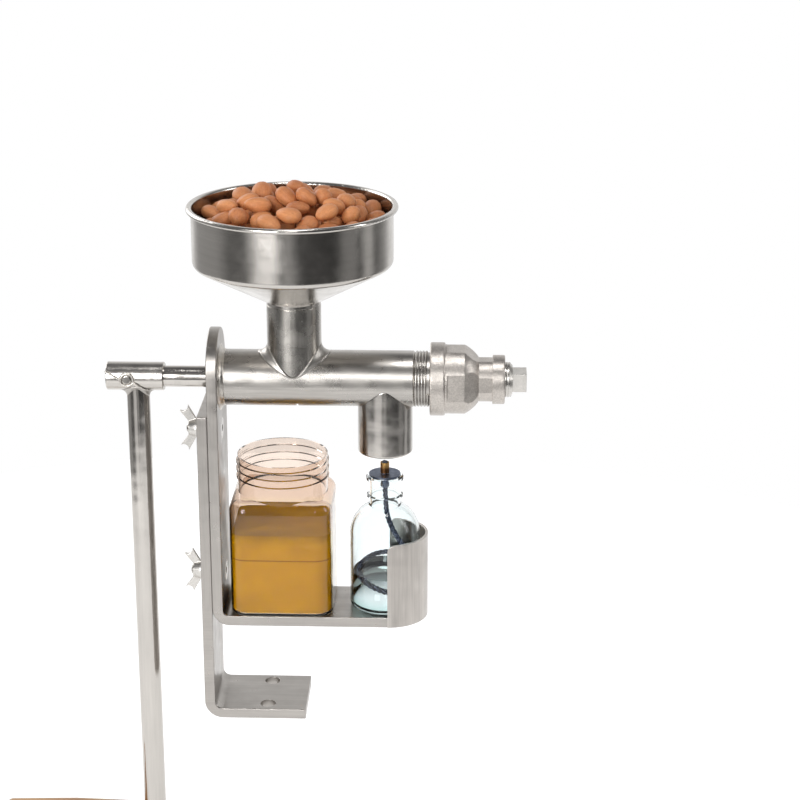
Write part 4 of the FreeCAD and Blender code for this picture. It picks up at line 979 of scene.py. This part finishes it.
@dataclass
class Hopper:
    """Spun bowl, heaped with kernels."""

    x: float = FEED_AXIS[0]
    rim: float = 0.4009
    wall: float = 71.8 * MM
    bed: float = 0.3700
    heap_edge: float = -7.0 * MM
    heap_rise: float = 12.0 * MM
    heap_radius: float = 66.0 * MM
    length: float = 19.5 * MM
    width: float = 14.6 * MM
    thickness: float = 11.5 * MM
    count: int = 260
    seed: int = 11

    def top(self, x: float, y: float) -> float:
        """Height of the heap's surface over a place."""
        out = min(1.0, math.hypot(x, y) / self.heap_radius)
        return self.rim + self.heap_edge + (self.heap_rise - self.heap_edge) * (1 - out ** 2)

    def kernels(self) -> list[tuple[Vector, Euler, Vector, float]]:
        """Drops kernels one by one to the lowest free place of several.

        Returns:
            Place, turn, size and tone of each kernel.
        """
        random = np.random.default_rng(self.seed)
        cell, reach = 1.0 * MM, self.wall + 4 * MM
        axis = np.arange(-reach, reach + cell, cell)
        grid_x, grid_y = np.meshgrid(axis, axis, indexing="ij")
        heights = np.full(grid_x.shape, self.bed)
        heights[np.hypot(grid_x, grid_y) > self.wall] = 1.0
        half = int(self.length / 2 / cell) + 2
        placed = []
        for _ in range(self.count):
            best = None
            for _ in range(26):
                out, angle = self.wall * math.sqrt(random.random()), random.random() * 2 * math.pi
                x, y = out * math.cos(angle), out * math.sin(angle)
                turn = Euler((random.normal(0, 0.35), random.normal(0, 0.30), random.random() * 2 * math.pi))
                girth = Vector([0.9 + 0.2 * random.random() for _ in range(3)])
                row, column = int((x + reach) / cell), int((y + reach) / cell)
                if not (half < row < len(axis) - half and half < column < len(axis) - half):
                    continue
                window = (slice(row - half, row + half + 1), slice(column - half, column + half + 1))
                low, high, inside = self.faces(turn, girth, grid_x[window] - x, grid_y[window] - y)
                if not inside.any():
                    continue
                rest = np.max((heights[window] - low)[inside])
                over = rest - self.top(x, y)
                if over < -2 * MM and (best is None or over < best[0]):
                    best = (over, rest, x, y, turn, girth, window, high, inside)
            if best is None:
                continue
            _, rest, x, y, turn, girth, window, high, inside = best
            patch = heights[window]
            patch[inside] = np.maximum(patch[inside], (rest + high)[inside])
            placed.append((Vector((self.x + x, y, rest)), turn, girth, float(random.random())))
        return placed

    def faces(self, turn: Euler, girth: Vector, dx: np.ndarray, dy: np.ndarray) -> tuple[np.ndarray, ...]:
        """Under and upper face of a kernel.

        Args:
            turn: its turn.
            girth: its share of the usual length, width and thickness.
            dx: offsets from its middle along X.
            dy: offsets from its middle along Y.

        Returns:
            Height of its under face, of its upper face, and where it lies at all.
        """
        spin = np.array(turn.to_matrix())
        halves = np.array([self.length * girth.x, self.width * girth.y, self.thickness * girth.z]) / 2 * 0.97
        form = spin @ np.diag(1 / halves ** 2) @ spin.T
        linear = form[0, 2] * dx + form[1, 2] * dy
        rest = form[0, 0] * dx ** 2 + 2 * form[0, 1] * dx * dy + form[1, 1] * dy ** 2 - 1
        root = linear ** 2 - form[2, 2] * rest
        inside = root > 0
        step = np.sqrt(np.where(inside, root, 0.0))
        return (-linear - step) / form[2, 2], (-linear + step) / form[2, 2], inside

    def build(self) -> None:
        """Dresses the bowl and heaps the kernels in it."""
        dress(SPUN_BOWL, "hopper")
        kernels = self.kernels()
        points = bpy.data.meshes.new("kernel_places")
        points.from_pydata([place for place, *_ in kernels], [], [])
        for name, column in (("turn", 1), ("girth", 2)):
            layer = points.attributes.new(name, "FLOAT_VECTOR", "POINT")
            layer.data.foreach_set("vector", [part for kernel in kernels for part in kernel[column]])
        tone = points.attributes.new("kernel_tone", "FLOAT", "POINT")
        tone.data.foreach_set("value", [kernel[3] for kernel in kernels])
        values = {"Length": self.length, "Width": self.width, "Thickness": self.thickness, "Point": 0.14,
                  "Wrinkle": 0.16, "Material": SeedSkin("kernel_skin").material()}
        mesh = baked("kernels", bpy.data.objects.new("carrier", points), Trees.get("kernel_heap"), values)
        new_piece("kernels", mesh, "hopper")
        LOG.info("kernels: %d", len(kernels))


@dataclass
class OilJar:
    """Clear jar, part filled with pressed oil."""

    x: float = 0.0126
    y: float = 0.005
    half_x: float = 37.55 * MM
    half_y: float = 35.55 * MM
    corner: float = 11.5 * MM
    floor: float = 0.08835
    floor_round: float = 2.4 * MM
    level: float = 0.1520

    def ring(self, inset: float, height: float) -> list[Vector]:
        """Points of the rounded square at a height, drawn in by inset."""
        corner = max(self.corner - inset, 1 * MM)
        half_x, half_y = self.half_x - inset - corner, self.half_y - inset - corner
        points = []
        for quarter, (side_x, side_y) in enumerate(((1, 1), (-1, 1), (-1, -1), (1, -1))):
            for step in range(9):
                angle = math.pi / 2 * (quarter + step / 8)
                points.append(Vector((self.x + side_x * half_x + corner * math.cos(angle),
                                      self.y + side_y * half_y + corner * math.sin(angle), height)))
        return points

    def build(self) -> None:
        """Dresses the jar and fills it; the oil climbs a little where it wets the wall."""
        dress(JAR_PLASTIC, "oil_jar")
        rings = [[Vector((self.x, self.y, self.floor))]]
        for step in range(5):
            angle = math.pi / 2 * step / 4
            rings.append(self.ring(self.floor_round * (1 - math.sin(angle)),
                                   self.floor + self.floor_round * (1 - math.cos(angle))))
        rings.append(self.ring(0.0, self.level - 12 * MM))
        rings.append(self.ring(0.0, self.level + 0.8 * MM))
        rings.append(self.ring(0.5 * MM, self.level + 0.25 * MM))
        rings.append(self.ring(1.6 * MM, self.level))
        rings.append([Vector((self.x, self.y, self.level))])
        new_piece("oil", lofted("oil", rings), "jar", PressedOil("pressed_oil"))


@dataclass
class SpiritLamp:
    """Glass bottle with fuel, the wick holder and the twisted cotton wick."""

    x: float = 0.0905
    base: float = 0.0863
    inner: float = 24.72 * MM
    foot: float = 2.9 * MM
    level: float = 0.1145
    wick_size: float = 4.2 * MM
    strands: int = 3
    sides: int = 8
    lay: float = 11.0 * MM
    route: tuple[tuple[float, float, float], ...] = (
        (0.0905, 0.0, 0.2029), (0.0905, 0.0, 0.1873), (0.0909, 0.0001, 0.1718), (0.0921, 0.0, 0.1573),
        (0.0981, -0.004, 0.1453), (0.1053, -0.0072, 0.1348), (0.1111, -0.0008, 0.1261),
        (0.1109, 0.0116, 0.1223), (0.1011, 0.02, 0.1209), (0.0879, 0.0216, 0.1199),
        (0.077, 0.016, 0.1183), (0.0702, 0.005, 0.1153), (0.0712, -0.008, 0.1113),
        (0.0795, -0.0178, 0.1073), (0.092, -0.0208, 0.1033), (0.104, -0.0158, 0.0993),
        (0.1107, -0.005, 0.0958), (0.1105, 0.007, 0.0928))

    def centreline(self) -> list[Vector]:
        """The wick's smooth line, read from its spline."""
        curve = bpy.data.curves.new("wick_line", "CURVE")
        curve.dimensions = "3D"
        curve.resolution_u = 24
        spline = curve.splines.new("NURBS")
        spline.points.add(len(self.route) - 1)
        for place, point in zip(spline.points, self.route):
            place.co = (*point, 1.0)
        spline.order_u = 3
        spline.use_endpoint_u = True
        holder = bpy.data.objects.new("wick_line", curve)
        bpy.context.scene.collection.objects.link(holder)
        graph = bpy.context.evaluated_depsgraph_get()
        line = bpy.data.meshes.new_from_object(holder.evaluated_get(graph))
        points = [vertex.co.copy() for vertex in line.vertices]
        bpy.data.objects.remove(holder)
        return points

    def wick(self) -> bpy.types.Object:
        """Three twisted strands along the centreline."""
        line = self.centreline()
        form = bmesh.new()
        uv = form.loops.layers.uv.new("along")
        strand = self.wick_size * 0.27
        offset = self.wick_size / 2 - strand
        lengths = [0.0]
        for before, after in zip(line, line[1:]):
            lengths.append(lengths[-1] + (after - before).length)
        side = Vector((1.0, 0.0, 0.0))
        frames = []
        for number, point in enumerate(line):
            way = (line[min(number + 1, len(line) - 1)] - line[max(number - 1, 0)]).normalized()
            side = (side - way * side.dot(way)).normalized()
            frames.append((point, way, side, way.cross(side)))
        for which in range(self.strands):
            rows = []
            for (point, way, first, second), length in zip(frames, lengths):
                angle = 2 * math.pi * (which / self.strands + length / self.lay)
                middle = point + (first * math.cos(angle) + second * math.sin(angle)) * offset
                turns = [angle + 2 * math.pi * step / self.sides for step in range(self.sides)]
                ways = [first * math.cos(turn) + second * math.sin(turn) for turn in turns]
                rows.append([form.verts.new(middle + way * strand) for way in ways])
            for row, (low, high) in enumerate(zip(rows, rows[1:])):
                near, far = lengths[row], lengths[row + 1]
                for step in range(self.sides):
                    after = (step + 1) % self.sides
                    face = form.faces.new((low[step], low[after], high[after], high[step]))
                    marks = ((near, step), (near, step + 1), (far, step + 1), (far, step))
                    for loop, (along, around) in zip(face.loops, marks):
                        loop[uv].uv = (along, around / self.sides)
            form.faces.new(rows[0])
            form.faces.new(rows[-1])
        mesh = mesh_from(form, "wick_rope")
        piece = new_piece("wick_rope", mesh, "lamp", Cotton("wick_cotton"))
        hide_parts("wick")
        LOG.info("wick: %.1f mm long", lengths[-1] / MM)
        return piece

    def build(self) -> None:
        """Dresses the bottle and its holder, pours the fuel and lays the wick."""
        dress(LAMP_GLASS, "lamp_bottle")
        dress(WickHolderMetal("wick_brass"), "wick_holder")
        floor = self.base + 2.35 * MM
        rings = [[Vector((self.x, 0.0, floor + 0.8 * MM))]]
        for step in range(6):
            angle = math.pi / 2 * step / 5
            inset, rise = self.foot * (1 - math.sin(angle)), self.foot * (1 - math.cos(angle))
            rings.append(self.ring(self.inner - inset, floor + rise))
        rings.append(self.ring(self.inner, self.level + 0.6 * MM))
        rings.append(self.ring(self.inner - 0.5 * MM, self.level + 0.15 * MM))
        rings.append(self.ring(self.inner - 1.4 * MM, self.level))
        rings.append([Vector((self.x, 0.0, self.level))])
        new_piece("lamp_fuel", lofted("lamp_fuel", rings), "lamp", LampFuel("lamp_fuel"))
        self.wick()

    def ring(self, radius: float, height: float) -> list[Vector]:
        """Points of a circle round the lamp's axis."""
        return [Vector((self.x + radius * math.cos(angle), radius * math.sin(angle), height))
                for angle in (2 * math.pi * step / 64 for step in range(64))]


# Studio

@dataclass(frozen=True)
class SoftLight:
    """A square soft lamp that looks at the press."""

    name: str
    azimuth: float
    elevation: float
    distance: float
    width: float
    height: float
    power: float
    colour: Colour = (1.0, 1.0, 1.0)

    def build(self, target: Vector) -> None:
        """Places the lamp; azimuth 0 is the camera's side and positive goes to the right."""
        lamp = bpy.data.lights.new(self.name, "AREA")
        lamp.shape = "RECTANGLE"
        lamp.size, lamp.size_y = self.width, self.height
        lamp.energy = self.power
        lamp.color = self.colour
        holder = bpy.data.objects.new(self.name, lamp)
        turn, lift = math.radians(self.azimuth), math.radians(self.elevation)
        way = Vector((math.sin(turn) * math.cos(lift), -math.cos(turn) * math.cos(lift), math.sin(lift)))
        holder.location = target + way * self.distance
        holder.rotation_euler = way.to_track_quat("Z", "Y").to_euler()
        bpy.context.scene.collection.objects.link(holder)
        LOG.info("lamp %s", self.name)


@dataclass
class Studio:
    """Camera, floor, lamps and the plain surroundings."""

    lens: float = 95.2
    eye: Colour = (0.1519, -1.5014, 0.7571)
    target: Colour = (0.102, 0.0, 0.2515)
    floor_height: float = -0.1186
    floor_radius: float = 0.9
    lights: tuple[SoftLight, ...] = (
        SoftLight("key", -26.0, 14.0, 1.5, 0.5, 0.9, 16.0),
        SoftLight("front", 2.0, 24.0, 2.0, 0.35, 0.7, 5.0),
        SoftLight("right", 84.0, 20.0, 1.6, 0.35, 1.2, 7.0),
        SoftLight("back_left", -130.0, 25.0, 1.8, 1.2, 1.2, 14.0),
        SoftLight("top", 0.0, 80.0, 1.6, 0.5, 0.4, 7.0),
    )

    def camera(self) -> None:
        """Sets the camera."""
        data = bpy.data.cameras.new("camera")
        data.lens = self.lens
        data.sensor_width = 36.0
        holder = bpy.data.objects.new("camera", data)
        holder.location = self.eye
        holder.rotation_euler = (Vector(self.target) - Vector(self.eye)).to_track_quat("-Z", "Y").to_euler()
        bpy.context.scene.collection.objects.link(holder)
        bpy.context.scene.camera = holder

    def floor(self) -> None:
        """Lays a wide round floor below the crank."""
        form = bmesh.new()
        bmesh.ops.create_circle(form, cap_ends=True, segments=96, radius=self.floor_radius,
                                matrix=Matrix.Translation((0.0, 0.0, self.floor_height)))
        mesh = bpy.data.meshes.new("floor")
        form.to_mesh(mesh)
        form.free()
        mesh.materials.append(StudioFloor("studio_floor").material())
        floor = bpy.data.objects.new("floor", mesh)
        bpy.context.scene.collection.objects.link(floor)

    def world(self) -> None:
        """Surroundings: white behind the press, in pale and dark bands round the camera, grey above."""
        world = bpy.data.worlds.new("studio")
        world.use_nodes = True
        world.node_tree.nodes.clear()
        graph = Graph(world.node_tree)
        way = graph.add("ShaderNodeTexCoord").outputs["Generated"]
        x, y, z = graph.parts(way)
        turn = graph.sum("ARCTAN2", x, graph.sum("MULTIPLY", y, -1.0))
        share = graph.sum("MULTIPLY_ADD", turn, 0.5 / math.pi, 0.5)
        bands = graph.ramp(share, (
            (0.0, 1.0), (0.09, 1.0), (0.13, 0.42), (0.25, 0.40), (0.30, 0.16), (0.36, 0.14), (0.40, 0.80),
            (0.46, 0.80), (0.475, 0.12), (0.50, 0.45), (0.53, 0.08), (0.65, 0.05), (0.68, 0.28), (0.72, 0.28),
            (0.74, 0.06), (0.77, 0.6), (0.79, 0.6), (0.81, 0.12), (0.87, 0.42), (0.91, 1.0), (1.0, 1.0)))
        lift = graph.span(z, 0.45, 0.85, 1.0, 0.0)
        colour = graph.mix(lift, (0.16, 0.16, 0.165), bands)
        background = graph.add("ShaderNodeBackground", {"Color": colour, "Strength": 1.0})
        out = graph.add("ShaderNodeOutputWorld")
        graph.feed(out.inputs["Surface"], background.outputs[0])
        bpy.context.scene.world = world

    def build(self) -> None:
        """Sets everything round the press."""
        bpy.context.scene.view_settings.view_transform = "Standard"
        self.camera()
        self.floor()
        self.world()
        for light in self.lights:
            light.build(Vector(self.target))


def main() -> None:
    """Builds the press's looks in order."""
    logging.basicConfig(level=logging.INFO, format="%(message)s")
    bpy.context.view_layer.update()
    Studio().build()
    Bracket().dress()
    Barrel().build()
    Crank().build()
    Outlet().build()
    Bearing().build()
    Hopper().build()
    OilJar().build()
    SpiritLamp().build()


if __name__ == "__main__":
    main()
